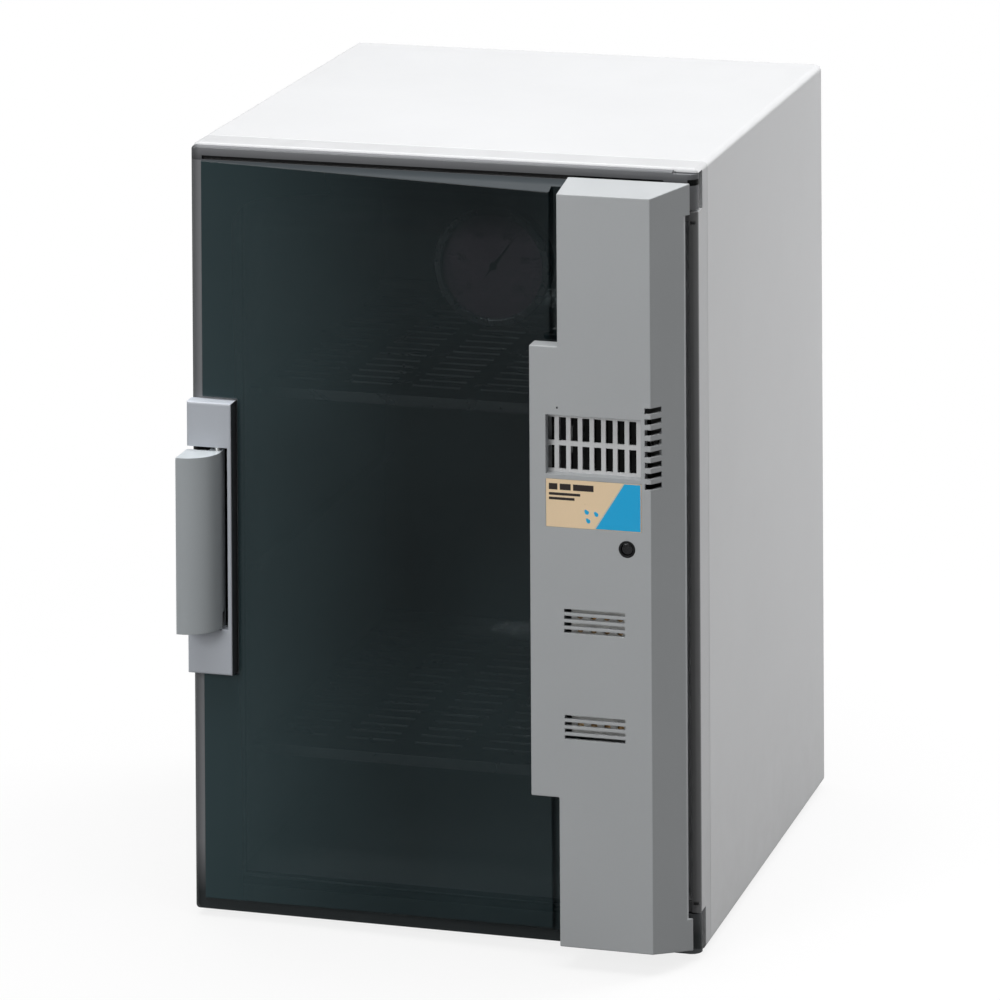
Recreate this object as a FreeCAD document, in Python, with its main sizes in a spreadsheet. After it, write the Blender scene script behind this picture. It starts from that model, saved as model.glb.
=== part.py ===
"""Bench-top dry cabinet: a desiccator with a self-regenerating drying module on its door.

Frame: +Z up, +X to the right and -Y towards the user.  The origin is the centre of the
overall footprint on the resting plane.  Sizes are in millimetres.
"""
import FreeCAD, Part
import Sketcher
import math
import os
import re
from FreeCAD import Vector

SIZES = {
    # whole cabinet
    "overall_width": 350, "overall_depth": 428, "overall_height": 523,
    "foot_height": 3, "module_depth": 38,
    # outer shell and rear
    "shell_wall": 3, "corner_radius": 4, "seam_break": 0.6, "flange_lip": 14, "flange_thick": 4,
    "flange_inset": 10, "rear_panel_thick": 2.5, "fit_gap": 0.4,
    "screw_shank": 1.7, "screw_head": 3.4, "screw_head_tall": 2, "screw_reach": 4,
    "rear_screw_edge": 7, "rear_screw_rise": 160,
    # front bezel
    "bezel_setback": 4.5, "bezel_depth": 25.5, "lip_radius": 2.5,
    "over_cut": 1, "opening_width": 296, "opening_height": 470, "opening_radius": 8,
    "strip_wide": 5.7, "strip_front": 0.5, "strip_round": 3,
    "pocket_wide": 3.6, "pocket_tall": 2.4, "pocket_sunk": 2, "pocket_edge": 0.9,
    "pocket_drop": 6, "pocket_rise": 5,
    # door seal
    "seal_offset": 3, "seal_wide": 5, "seal_deep": 3, "seal_gap": 0.1,
    # chamber
    "liner_wall": 2.5, "liner_depth": 340, "liner_flange": 10,
    "rib_reach": 8, "rib_thick": 3, "rib_front": 15, "shelf_pitch": 122, "lower_level": 104,
    # shelves
    "shelf_side_gap": 1, "shelf_front": 42, "shelf_depth": 312, "shelf_thick": 1.5,
    "shelf_rim": 7, "shelf_slot_long": 34, "shelf_slot_wide": 5, "shelf_slot_step": 48,
    "shelf_row_step": 17, "shelf_row_first": 26,
    # feet
    "foot_radius": 11, "foot_peg": 3, "foot_inset_side": 40, "foot_inset_front": 45,
    # hinge
    "hinge_inset": 8, "hinge_behind": 7.5, "knuckle_radius": 7.5, "knuckle_space": 0.7,
    "ear_low": 493, "ear_high": 516.5, "ear_extra": 3, "ear_clear": 1, "pin_radius": 2, "running_gap": 0.05,
    "pin_long": 22, "pin_in_ear": 15, "ledge_tall": 7, "ledge_radius": 5.7,
    "leaf_end": 16.5, "cove_inset": 15.5, "cove_deep": 16,
    # door moulding
    "door_margin": 1.5, "door_side_margin": 0.5, "door_thick": 4, "door_raise": 8,
    "rim_round": 1.5, "panel_border": 8, "panel_drop": 9, "door_wall": 3,
    "wedge_left": 1.5, "wedge_right": 14, "wedge_end": 78.3, "wedge_draft": 0.45,
    "panel_edge": 0.9,
    "groove_wide": 2.6, "groove_deep": 2, "cover_round": 1.6,
    "hollow_left": 139, "hollow_knee": 39, "hollow_right": 142,
    "hollow_low": 29, "hollow_high": 491,
    # latch
    "latch_low": 164.5, "latch_high": 348, "latch_right": 31.5, "latch_proud": 12,
    "latch_gap": 1.5, "grip_low": 197, "grip_high": 315.5, "cut_low": 195, "cut_high": 318,
    "latch_strip": 2.9, "pivot_inset": 21, "pivot_front": 9,
    "grip_front": 36, "grip_back": 11, "grip_right": 24.5, "grip_shoulder": 15,
    "grip_curve": 22, "grip_shoulder_front": 4.5,
    "hook_low": 247, "hook_high": 269, "hook_left": 12, "hook_right": 17, "hook_nose": 19.2,
    "hook_behind": 13, "nose_thick": 4, "hook_space": 2, "slot_left": 4, "slot_right": 18,
    "pocket_left": 3, "pocket_right": 21.3, "pocket_deep": 18, "keeper_thick": 1.8,
    "keeper_play": 0.5, "keeper_clear": 1, "hook_root": 1,
    "keeper_front": 6.5, "keeper_back": 17.8, "latch_pin_over": 8,
    "spring_seat_radius": 4.2, "spring_seat_tall": 10, "coil_radius": 3.2, "wire_radius": 0.4,
    "coil_pitch": 1.6, "coil_tall": 8,
    # module housing
    "module_left": 89.5, "module_right": 172, "module_corner": 152.3, "module_back": 8,
    "module_low": 6.7, "module_high": 512.5, "module_slope": 5.2, "module_wall": 2.5,
    "module_step": 70.5, "step_low": 110, "step_high": 407, "step_deep": 13, "step_back": 1.5,
    "notch_low": 28, "notch_high": 492, "notch_reach": 3, "housing_edge": 0.8,
    "corner_lean": 0.4, "slant_wall": 4, "frame_wall": 1.6, "louvre_deep": 13,
    # grille and louvres
    "window_left": 81.5, "window_right": 145.6, "window_low": 323, "window_high": 362,
    "grille_front": 31, "grille_thick": 1.6, "grille_border": 2.4, "vent_count": 8,
    "vent_first": 80.9, "vent_step": 7.9, "vent_wide": 4.8, "vent_low": 325, "vent_tall": 15.4,
    "vent_rise": 18.6, "louvre_left": 148.3, "louvre_right": 157.6, "louvre_low": 316.6,
    "louvre_step": 7.1, "louvre_tall": 3.8, "louvre_count": 8,
    "slot_low_set": 149, "slot_set_rise": 70, "slot_start": 93.5, "slot_end": 134.4,
    "slot_step": 4.45, "slot_tall": 2.45, "slot_count": 4,
    "label_left": 81.5, "label_right": 146, "label_low": 288.2, "label_high": 320,
    "label_deep": 0.5, "label_gap": 0.15, "lens_centre": 136.1, "lens_level": 276.8, "lens_radius": 4.2,
    "ring_radius": 5.6, "lens_long": 5, "lens_sunk": 0.8, "lamp_gap": 1, "reset_centre": 89.3, "reset_level": 366.7,
    "reset_radius": 0.7,
    # module inside
    "chassis_left": 95, "chassis_right": 162.4, "chassis_low": 16, "chassis_high": 496,
    "chassis_thick": 2, "boss_radius": 4.5, "boss_left": 101, "boss_low": 30,
    "boss_high": 482, "boss_front": 36.5, "module_screw_long": 14,
    "inlet_low": 324, "inlet_tall": 32, "inlet_first": 102.5, "inlet_count": 5,
    "vent_clear": 3, "vent_side": 2, "screw_side": 3, "screw_rise": 6,
    "shutter_thick": 1.2, "shutter_gap": 0.4, "shutter_travel": 3.95,
    "shutter_lap": 2,
    "link_left": 143, "link_right": 146, "link_low": 340, "link_high": 346,
    "bracket_thick": 1.5, "bracket_low": 334, "bracket_high": 352, "bracket_left": 95.2,
    "bracket_right": 154.8, "bracket_front": 24, "drive_level": 343, "drive_behind": 20,
    "drive_radius": 3, "drive_wire": 0.5, "actuator_pitch": 2.6, "actuator_long": 40,
    "bias_pitch": 2.4, "bias_long": 7.2, "spring_lift": 1.2, "spring_gap": 1,
    "pack_left": 97, "pack_right": 145, "pack_low": 150, "pack_high": 264, "pack_front": 33,
    "pack_back": 11, "pack_wall": 1, "pack_hole": 2.2, "pack_hole_step": 9,
    "pack_hole_side": 6, "pack_hole_rise": 7.5, "fill_gap": 1,
    "heater_thick": 2.4, "heater_margin": 6,
    "board_left": 98, "board_right": 146, "board_low": 52, "board_high": 126,
    "board_behind": 14, "board_thick": 1.6, "post_radius": 2.5, "post_inset": 5,
    "inlet_centre": 120, "inlet_behind": 22, "inlet_radius": 5.5, "inlet_socket": 3.2, "inlet_tip": 16,
    "inlet_end": 3, "lead_radius": 0.9, "lead_bend": 2.2,
    "lead_lap": 3, "lead_apart": 5, "lead_shift": 5, "lead_spread": 4,
    "lamp_radius": 2.5, "lamp_long": 5, "lamp_board_half": 7, "cover_left": 92,
    "cover_right": 140.2, "cover_low": 312, "cover_high": 370, "cover_thick": 2, "cover_step": 8,
    "slat_first": 7, "slat_side": 6,
    "relay_left": 5, "relay_right": 27, "relay_low": 6, "relay_high": 30, "relay_tall": 14,
    "chip_left": 32, "chip_right": 42, "chip_low": 44, "chip_high": 60, "chip_tall": 5,
    "fuse_left": 6, "fuse_right": 22, "fuse_low": 50, "fuse_high": 58,
    "can_across": 37, "can_low": 16, "can_high": 30, "can_radius": 5, "can_tall": 11,
    # hygrometer
    "dial_centre": 36.5, "dial_level": 449, "case_radius": 38, "case_depth": 17,
    "case_wall": 1.5, "dial_ring_radius": 40, "ring_inner": 34.5, "ring_thick": 3,
    "dial_thick": 0.8, "window_thick": 1, "needle_long": 27, "needle_tail": 10,
    "needle_half": 1.1, "needle_thick": 0.6, "needle_lean": 37, "hub_radius": 2.6,
    "shaft_radius": 0.8, "shaft_stop": 1,
    "window_seat": 0.5, "dial_seat": 1.5, "needle_gap": 0.5, "movement_radius": 12, "movement_deep": 7,
}

doc = FreeCAD.newDocument("dry_cabinet")
sheet = doc.addObject("Spreadsheet::Sheet", "Sizes")
for row, (alias, number) in enumerate(SIZES.items(), start=1):
    sheet.set("A%d" % row, alias)
    sheet.set("B%d" % row, str(number))
    sheet.setAlias("B%d" % row, alias)
doc.recompute()

SHELF_COLUMNS = 6
SHELF_ROWS = 16
PACK_COLUMNS = 5
PACK_ROWS = 12
SLAT_COUNT = 6
EDGE_BAND = 2
CLOSE = 0.05
FLAT = 1e-6
PARTS = []
HALF_WIDTH = "overall_width / 2"
EAR_TALL = "(ear_high - ear_low + door_margin + ear_extra)"
INLET_SLOPE = 0.47
FACE = "module_depth - overall_depth / 2"
CENTRE_LEVEL = "(overall_height - foot_height) / 2"
CABINET_TALL = "overall_height - foot_height"
CABINET_DEEP = "overall_depth - module_depth"
HINGE_X = "overall_width / 2 - hinge_inset"


def bound(formula):
    """The formula with every size name pointing at its spreadsheet cell."""
    return re.sub(r"[a-z][a-z_]+", lambda word: "Sizes." + word.group(), formula)


def behind(distance):
    """The y position that lies this far behind the front plane of the door's rim."""
    return "(%s + %s)" % (FACE, distance)


def ahead(distance):
    """The y position that lies this far in front of the door's rim."""
    return "(%s - (%s))" % (FACE, distance)


def above(distance):
    """The z position that lies this far above the underside of the cabinet."""
    return "(foot_height + %s)" % distance


def size(alias):
    return float(getattr(sheet, alias))


# ---------------------------------------------------------------- sketches and features

def new_body(label):
    body = doc.addObject("PartDesign::Body", label)
    body.Label = label
    body.AllowCompound = True
    PARTS.append(body)
    return body


def origin_plane(body, role):
    for feature in body.Origin.OriginFeatures:
        if feature.Role == role:
            return feature


def place_point(sketch, geometry, point, where):
    for kind, formula in zip(("DistanceX", "DistanceY"), where):
        index = sketch.addConstraint(Sketcher.Constraint(kind, -1, 1, geometry, point, 1.0))
        sketch.setExpression("Constraints[%d]" % index, bound(formula))


def polygon(*corners):
    """A closed outline of straight lines through the given corners."""
    def draw(sketch):
        first = sketch.GeometryCount
        count = len(corners)
        turn = 2 * math.pi / count
        ring = [Vector(math.cos(turn * i), math.sin(turn * i), 0) for i in range(count)]
        for i in range(count):
            sketch.addGeometry(Part.LineSegment(ring[i], ring[(i + 1) % count]), False)
        for i in range(count):
            joined = first + (i + 1) % count
            sketch.addConstraint(Sketcher.Constraint("Coincident", first + i, 2, joined, 1))
            place_point(sketch, first + i, 1, corners[i])
    return draw


def rectangle(left, right, low, high):
    return polygon((left, low), (right, low), (right, high), (left, high))


def circle(across, along, radius):
    def draw(sketch):
        index = sketch.addGeometry(Part.Circle(Vector(0, 0, 0), Vector(0, 0, 1), 1.0), False)
        place_point(sketch, index, 3, (across, along))
        datum = sketch.addConstraint(Sketcher.Constraint("Radius", index, 1.0))
        sketch.setExpression("Constraints[%d]" % datum, bound(radius))
    return draw


def prism(body, role, low, high, *outlines, cut=False):
    """Pad or pocket the outlines between two positions along the plane's normal.

    The XZ plane's normal is -Y, so its sketch starts at the far end of the span.
    """
    sketch = body.newObject("Sketcher::SketchObject", "Outline")
    sketch.AttachmentSupport = [(origin_plane(body, role), "")]
    sketch.MapMode = "FlatFace"
    start = "-(%s)" % high if role == "XZ_Plane" else low
    sketch.setExpression("AttachmentOffset.Base.z", bound(start))
    for outline in outlines:
        outline(sketch)
    before = body.Shape.Volume if body.Tip else 0
    feature = body.newObject("PartDesign::Pocket" if cut else "PartDesign::Pad", "Prism")
    feature.Profile = sketch
    feature.setExpression("Length", bound("(%s) - (%s)" % (high, low)))
    feature.Reversed = cut
    doc.recompute()
    change = body.Shape.Volume - before
    if change * (-1 if cut else 1) <= 0:
        raise RuntimeError("%s: a feature changed nothing" % body.Label)
    return feature


def front_view(body, near, far, *outlines, cut=False):
    """A prism whose outline is drawn as seen from the front, between two y positions."""
    return prism(body, "XZ_Plane", near, far, *outlines, cut=cut)


def plan_view(body, low, high, *outlines, cut=False):
    """A prism whose outline is drawn as seen from above, between two z positions."""
    return prism(body, "XY_Plane", low, high, *outlines, cut=cut)


def side_view(body, left, right, *outlines, cut=False):
    """A prism whose outline is drawn in y and z, between two x positions."""
    return prism(body, "YZ_Plane", left, right, *outlines, cut=cut)


def repeat(body, axis_role, step, count):
    """Repeat the body's last feature in equal steps along an axis."""
    original = body.Tip
    before = body.Shape.Volume
    pattern = body.newObject("PartDesign::LinearPattern", "Repeat")
    pattern.Originals = [original]
    pattern.Direction = (origin_plane(body, axis_role), [""])
    pattern.Occurrences = count
    pattern.setExpression("Length", bound("%s * %d" % (step, count - 1)))
    body.Tip = pattern
    doc.recompute()
    if abs(body.Shape.Volume - before) < 1e-3:
        raise RuntimeError("%s: the pattern changed nothing" % body.Label)


def soften(body, radius, chosen, kind="Fillet"):
    """Round or bevel the edges of the body's last feature that the test picks."""
    base = body.Tip
    names = []
    for number, edge in enumerate(base.Shape.Edges, start=1):
        if chosen(edge):
            names.append("Edge%d" % number)
    if not names:
        raise RuntimeError("%s: no edge was picked" % body.Label)
    feature = body.newObject("PartDesign::" + kind, kind)
    feature.Base = (base, names)
    feature.setExpression("Radius" if kind == "Fillet" else "Size", bound(radius))
    doc.recompute()
    return feature


def lies_along(edge, axis):
    """True for a straight edge that is parallel to the named axis."""
    if edge.Curve.TypeId != "Part::GeomLine":
        return False
    direction = edge.Vertexes[-1].Point - edge.Vertexes[0].Point
    length = direction.Length
    return length > 0 and abs(abs(getattr(direction, axis)) - length) < FLAT


def near_value(value, target):
    return abs(value - target) < CLOSE


def middle(edge):
    return edge.valueAt((edge.FirstParameter + edge.LastParameter) / 2)


def face_y():
    return size("module_depth") - size("overall_depth") / 2


def outline_edges_at(y_position):
    """Picks the edges of the cabinet's outer outline that lie in one plane across y."""
    across = size("overall_width") / 2 - EDGE_BAND
    up = (size("overall_height") - size("foot_height")) / 2 - EDGE_BAND
    centre = (size("overall_height") + size("foot_height")) / 2

    def chosen(edge):
        box = edge.BoundBox
        if box.YLength > FLAT or not near_value(box.YMin, y_position):
            return False
        spot = middle(edge)
        return abs(spot.x) > across or abs(spot.z - centre) > up
    return chosen


def rounded_frame(label, near, far, wall):
    """A rounded rectangular tube along y with the cabinet's outer outline."""
    body = new_body(label)
    front_view(body, near, far,
               rectangle("-" + HALF_WIDTH, HALF_WIDTH, above("0"), "overall_height"))
    soften(body, "corner_radius", lambda edge: lies_along(edge, "y"))
    front_view(body, near, far, rectangle(
        "-%s + %s" % (HALF_WIDTH, wall), "%s - %s" % (HALF_WIDTH, wall),
        above(wall), "overall_height - %s" % wall), cut=True)
    return body


def bored_discs(body, near, far, centres, radius, cut=False):
    front_view(body, near, far, *[circle(x, z, radius) for x, z in centres], cut=cut)


# ---------------------------------------------------------------- cabinet

def rear_screw_places():
    side = "(overall_width / 2 - shell_wall - rear_screw_edge)"
    top = "overall_height - shell_wall - rear_screw_edge"
    places = []
    for sign in ("-", ""):
        for step in ("-1", "0", "1"):
            level = "foot_height + %s + %s * rear_screw_rise" % (CENTRE_LEVEL, step)
            places.append((sign + side, level))
    places.append(("0", top))
    places.append(("0", above("shell_wall + rear_screw_edge")))
    return places


def outer_shell():
    body = rounded_frame("outer_shell", behind("bezel_setback + bezel_depth"),
                         behind(CABINET_DEEP), "shell_wall")
    far = "%s + %s - flange_inset" % (FACE, CABINET_DEEP)
    near = far + " - flange_thick"
    inner = "(shell_wall + flange_lip)"
    front_view(body, near, far, rectangle(
        "-%s + shell_wall / 2" % HALF_WIDTH, "%s - shell_wall / 2" % HALF_WIDTH,
        above("shell_wall / 2"), "overall_height - shell_wall / 2"))
    front_view(body, near, far, rectangle(
        "-%s + %s" % (HALF_WIDTH, inner), "%s - %s" % (HALF_WIDTH, inner),
        above(inner), "overall_height - (%s)" % inner), cut=True)
    bored_discs(body, near, far, rear_screw_places(), "screw_shank", cut=True)
    plan_view(body, above("0"), above("shell_wall"),
              *[circle(x, y, "foot_peg") for x, y in foot_places()], cut=True)
    seam = face_y() + size("bezel_setback") + size("bezel_depth")
    rear = face_y() + size("overall_depth") - size("module_depth")
    for plane in (seam, rear):
        soften(body, "seam_break", outline_edges_at(plane))


def rear_panel():
    body = new_body("rear_panel")
    near = "%s + %s - flange_inset" % (FACE, CABINET_DEEP)
    far = near + " + rear_panel_thick"
    edge = "shell_wall + fit_gap"
    front_view(body, near, far, rectangle(
        "-%s + %s" % (HALF_WIDTH, edge), "%s - (%s)" % (HALF_WIDTH, edge),
        above(edge), "overall_height - (%s)" % edge))
    soften(body, "corner_radius - shell_wall", lambda spot: lies_along(spot, "y"))
    bored_discs(body, near, far, rear_screw_places(), "screw_shank", cut=True)


def rear_screws():
    body = new_body("rear_screws")
    seat = "%s + %s - flange_inset + rear_panel_thick" % (FACE, CABINET_DEEP)
    bored_discs(body, seat, seat + " + screw_head_tall", rear_screw_places(), "screw_head")
    bored_discs(body, seat + " - rear_panel_thick - screw_reach", seat, rear_screw_places(),
                "screw_shank")


def foot_places():
    side = "(overall_width / 2 - foot_inset_side)"
    return [(sign + side, y) for sign in ("-", "") for y in
            (behind("foot_inset_front"), behind(CABINET_DEEP + " - foot_inset_front"))]


def feet():
    body = new_body("feet")
    plan_view(body, "0", above("0"), *[circle(x, y, "foot_radius") for x, y in foot_places()])
    soften(body, "seam_break", lambda edge: near_value(edge.BoundBox.ZMax, 0))
    plan_view(body, above("0"), above("shell_wall"),
              *[circle(x, y, "foot_peg") for x, y in foot_places()])


def seal_ring(half_band):
    """A rectangular ring centred on the line the door seal follows."""
    outer = "seal_offset + " + half_band
    inner = "seal_offset - (%s)" % half_band
    for grow in (outer, inner):
        across = "(opening_width / 2 + %s)" % grow
        up = "(opening_height / 2 + %s)" % grow
        centre = above(CENTRE_LEVEL)
        yield rectangle("-" + across, across, "%s - %s" % (centre, up), "%s + %s" % (centre, up))


def front_bezel():
    body = new_body("front_bezel")
    near, far = behind("bezel_setback"), behind("bezel_setback + bezel_depth")
    front_view(body, near, far,
               rectangle("-" + HALF_WIDTH, HALF_WIDTH, above("0"), "overall_height"))
    soften(body, "corner_radius", lambda edge: lies_along(edge, "y"))
    centre = above(CENTRE_LEVEL)
    front_view(body, near, far, rectangle(
        "-opening_width / 2", "opening_width / 2", "%s - opening_height / 2" % centre,
        "%s + opening_height / 2" % centre), cut=True)
    front_plane = face_y() + size("bezel_setback")
    soften(body, "lip_radius", outline_edges_at(front_plane))
    soften(body, "seam_break", outline_edges_at(front_plane + size("bezel_depth")))
    outer, inner = seal_ring("seal_wide / 2 + seal_gap")
    front_view(body, near, near + " + seal_deep", outer, inner, cut=True)
    strip_low, strip_high = above("ear_clear + %s" % EAR_TALL), above("ear_low - ear_clear")
    plan_view(body, strip_low, strip_high, rectangle(
        HALF_WIDTH + " - strip_wide", HALF_WIDTH, behind("strip_front"),
        behind("bezel_setback + lip_radius")))
    soften(body, "strip_round", lambda edge: lies_along(edge, "z")
           and near_value(middle(edge).x, size("overall_width") / 2)
           and near_value(middle(edge).y, face_y() + size("strip_front")))
    pocket_left = HALF_WIDTH + " - strip_wide + pocket_edge"
    for low in (strip_low + " + pocket_rise", strip_high + " - pocket_drop - pocket_tall"):
        front_view(body, behind("strip_front"), behind("strip_front + pocket_sunk"), rectangle(
            pocket_left, pocket_left + " + pocket_wide", low, low + " + pocket_tall"), cut=True)
    ledge_low = "(ear_clear + %s + ledge_tall)" % EAR_TALL
    ledge_high = "(ear_low - ear_clear - ledge_tall)"
    plan_view(body, above(ledge_low), above(ledge_high), rectangle(
        HALF_WIDTH + " - cove_inset", HALF_WIDTH + " - strip_wide",
        behind("bezel_setback - over_cut"), behind("cove_deep")), cut=True)
    axis_y = behind("hinge_behind")
    for low, high in (("(ear_clear + %s)" % EAR_TALL, ledge_low),
                      (ledge_high, "(ear_low - ear_clear)")):
        plan_view(body, above(low), above(high), circle(HINGE_X, axis_y, "ledge_radius"))
    for low, high in (("(-over_cut)", "(ear_clear + %s)" % EAR_TALL),
                      ("(ear_low - ear_clear)", "(ear_high + ear_clear / 2)")):
        plan_view(body, above(low), above(high),
                  circle(HINGE_X, axis_y, "knuckle_radius + knuckle_space"), cut=True)
        plan_view(body, above(low), above(high), rectangle(
            HINGE_X, HALF_WIDTH + " + over_cut", behind("0"),
            behind("hinge_behind + knuckle_radius + knuckle_space")), cut=True)
    for low, high in pin_spans():
        plan_view(body, low, high, circle(HINGE_X, axis_y, "pin_radius"), cut=True)
    plan_view(body, above("hook_low - hook_space"), above("hook_high + hook_space"), rectangle(
        "-%s + pocket_left" % HALF_WIDTH, "-%s + pocket_right" % HALF_WIDTH,
        behind("bezel_setback - over_cut"), behind("pocket_deep")), cut=True)


def pin_spans():
    """The z spans of the lower and the upper hinge pin inside the bezel's ledges."""
    low_end = "(ear_clear + %s)" % EAR_TALL
    return ((above(low_end), above(low_end + " + pin_long - pin_in_ear - ear_clear")),
            (above("ear_low - pin_long + pin_in_ear"), above("ear_low - ear_clear")))


def hinge_pins():
    body = new_body("hinge_pins")
    axis_y = behind("hinge_behind")
    low_end = "(ear_clear + %s)" % EAR_TALL
    plan_view(body, above(low_end + " - ear_clear - pin_in_ear"), pin_spans()[0][1],
              circle(HINGE_X, axis_y, "pin_radius"))
    plan_view(body, pin_spans()[1][0], above("ear_low + pin_in_ear"),
              circle(HINGE_X, axis_y, "pin_radius"))


def door_gasket():
    body = new_body("door_gasket")
    near = behind("door_thick + running_gap")
    far = behind("bezel_setback + seal_deep - running_gap")
    outer, inner = seal_ring("seal_wide / 2")
    front_view(body, near, far, outer, inner)
    front = face_y() + size("door_thick") + size("running_gap")
    soften(body, "seal_wide / 5", lambda edge: near_value(edge.BoundBox.YMax, front))


def inner_liner():
    body = new_body("inner_liner")
    near = behind("bezel_setback + bezel_depth")
    far = "%s + liner_depth" % near
    centre = above(CENTRE_LEVEL)

    def ring(grow):
        across = "(opening_width / 2 + %s)" % grow
        up = "(opening_height / 2 + %s)" % grow
        return rectangle("-" + across, across, "%s - %s" % (centre, up), "%s + %s" % (centre, up))

    front_view(body, near, far, ring("liner_wall"))
    soften(body, "opening_radius", lambda edge: lies_along(edge, "y"))
    front_view(body, near, near + " + liner_wall", ring("liner_flange"))
    front_view(body, near, far + " - liner_wall", ring("0"), cut=True)
    rows = []
    for sign in ("-", ""):
        wall_side = sign + "(opening_width / 2 + liner_wall / 2)"
        open_side = sign + "(opening_width / 2 - rib_reach)"
        left, right = (wall_side, open_side) if sign else (open_side, wall_side)
        for step in range(3):
            top = above("lower_level + %d * shelf_pitch - shelf_thick - running_gap" % step)
            rows.append(rectangle(left, right, top + " - rib_thick", top))
    front_view(body, near + " + rib_front", far + " - liner_wall / 2", *rows)


def shelf(label, step):
    body = new_body(label)
    top = above("lower_level + %d * shelf_pitch" % step)
    low = top + " - shelf_thick"
    half = "(opening_width / 2 - shelf_side_gap)"
    near, far = behind("shelf_front"), behind("shelf_front + shelf_depth")
    plan_view(body, low, top, rectangle("-" + half, half, near, far))
    rim_half = "(opening_width / 2 - rib_reach - shelf_side_gap)"
    side_view(body, "-" + rim_half, rim_half, rectangle(near, near + " + shelf_thick",
                                                        top + " - shelf_rim", low))
    side_view(body, "-" + half, half, rectangle(far + " - shelf_thick", far,
                                                top, top + " + shelf_rim"))
    first = "%s + shelf_row_first" % near
    slots = []
    for column in range(SHELF_COLUMNS):
        left = "(%d - %d / 2) * shelf_slot_step - shelf_slot_long / 2" % (
            column, SHELF_COLUMNS - 1)
        slots.append(rectangle(left, left + " + shelf_slot_long", first,
                               first + " + shelf_slot_wide"))
    plan_view(body, low, top, *slots, cut=True)
    repeat(body, "Y_Axis", "shelf_row_step", SHELF_ROWS)


def latch_keeper():
    body = new_body("latch_keeper")
    right = "-%s + pocket_right" % HALF_WIDTH
    side_view(body, right + " - keeper_thick", right, rectangle(
        behind("keeper_front"), behind("keeper_back"),
        above("hook_low - hook_space"), above("hook_high + hook_space")))
    side_view(body, right + " - keeper_thick", right, rectangle(
        behind("hook_behind - nose_thick - keeper_play"), behind("hook_behind + keeper_clear"),
        above("hook_low - keeper_clear"), above("hook_high + keeper_clear")), cut=True)


# ---------------------------------------------------------------- door

def latch_notch(extra):
    """The stretch of the door's left edge that the latch plate covers."""
    return ("-%s + latch_right + %s" % (HALF_WIDTH, extra),
            above("latch_low - %s" % extra), above("latch_high + %s" % extra))


def outer_front_edges(edge):
    """Picks the left, top and bottom edges of the door's rim on its front plane."""
    box = edge.BoundBox
    right_end = size("overall_width") / 2 - size("leaf_end")
    return (box.YLength < FLAT and near_value(box.YMin, face_y())
            and not near_value(box.XMin, right_end))


def wedge_front_edges(edge):
    """Picks the long top, bottom and right edges of the door's sloping front face."""
    left = size("panel_border") - size("overall_width") / 2
    rise = (size("wedge_right") - size("wedge_left")) / (size("wedge_end") - left)
    for vertex in edge.Vertexes:
        proud = size("wedge_left") + rise * (vertex.X - left)
        if not near_value(vertex.Y, face_y() - proud):
            return False
    return edge.BoundBox.XMax > size("wedge_end") - EDGE_BAND


def door_panel():
    body = new_body("door_panel")
    left = "-%s + door_side_margin" % HALF_WIDTH
    right = HALF_WIDTH + " - leaf_end"
    low, high = above("door_margin"), "overall_height - door_margin"
    front_view(body, behind("0"), behind("door_thick"), rectangle(left, right, low, high))
    soften(body, "corner_radius - door_margin", lambda edge: lies_along(edge, "y")
           and middle(edge).x < 0)
    soften(body, "rim_round", outer_front_edges)
    panel_left = "-%s + panel_border" % HALF_WIDTH
    panel_low, panel_high = above("panel_drop"), "overall_height - panel_drop - door_margin"
    root = behind("door_thick / 2")
    plan_view(body, panel_low, panel_high, polygon(
        (panel_left, root), (panel_left, ahead("wedge_left")),
        ("wedge_end", ahead("wedge_right")), ("wedge_end", ahead("door_raise")),
        (right, ahead("door_raise")), (right, root)))
    tip = ahead("wedge_right")
    for level, lean in ((panel_high, " - "), (panel_low, " + ")):
        side_view(body, panel_left, right, polygon(
            (ahead("0"), level), (tip, level + lean + "wedge_draft * wedge_right"),
            (tip, level)), cut=True)
    notch_x, notch_low, notch_high = latch_notch("latch_gap")
    front_view(body, tip, ahead("0"), rectangle(left, notch_x, notch_low, notch_high), cut=True)
    soften(body, "panel_edge", wedge_front_edges)
    front_view(body, ahead("0"), behind("groove_deep"), rectangle(
        panel_left, "module_corner", panel_high, panel_high + " + groove_wide"), cut=True)
    inner = ahead("door_raise - door_wall")
    plan_view(body, above("hollow_low"), above("hollow_high"), polygon(
        ("-hollow_left", behind("door_thick")), ("hollow_right", behind("door_thick")),
        ("hollow_right", inner), ("-hollow_knee", inner), ("-hollow_left", ahead("0"))), cut=True)
    axis_y = behind("hinge_behind")
    spans = ear_spans()
    for bottom, top in spans:
        plan_view(body, bottom, top, rectangle(
            right + " - over_cut", HINGE_X, behind("0"), behind("door_thick")))
        plan_view(body, bottom, top, circle(HINGE_X, axis_y, "knuckle_radius"))
    plan_view(body, spans[0][1] + " - pin_in_ear - ear_clear", spans[0][1],
              circle(HINGE_X, axis_y, "pin_radius + running_gap"), cut=True)
    plan_view(body, spans[1][0], spans[1][0] + " + pin_in_ear + ear_clear",
              circle(HINGE_X, axis_y, "pin_radius + running_gap"), cut=True)
    front_view(body, ahead("0"), behind("door_thick"), rectangle(
        "-%s + slot_left" % HALF_WIDTH, "-%s + slot_right" % HALF_WIDTH,
        above("hook_low - hook_space"), above("hook_high + hook_space")), cut=True)
    vent_low, vent_high = above("inlet_low - vent_clear"), above(
        "inlet_low + inlet_tall + vent_clear")
    front_view(body, ahead("door_raise"), ahead("door_raise - door_wall"), rectangle(
        "inlet_first - vent_side", "hollow_right - vent_side", vent_low, vent_high), cut=True)
    bored_discs(body, ahead("door_raise"), ahead("door_raise - door_wall"),
                module_screw_places(), "screw_shank", cut=True)


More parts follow.
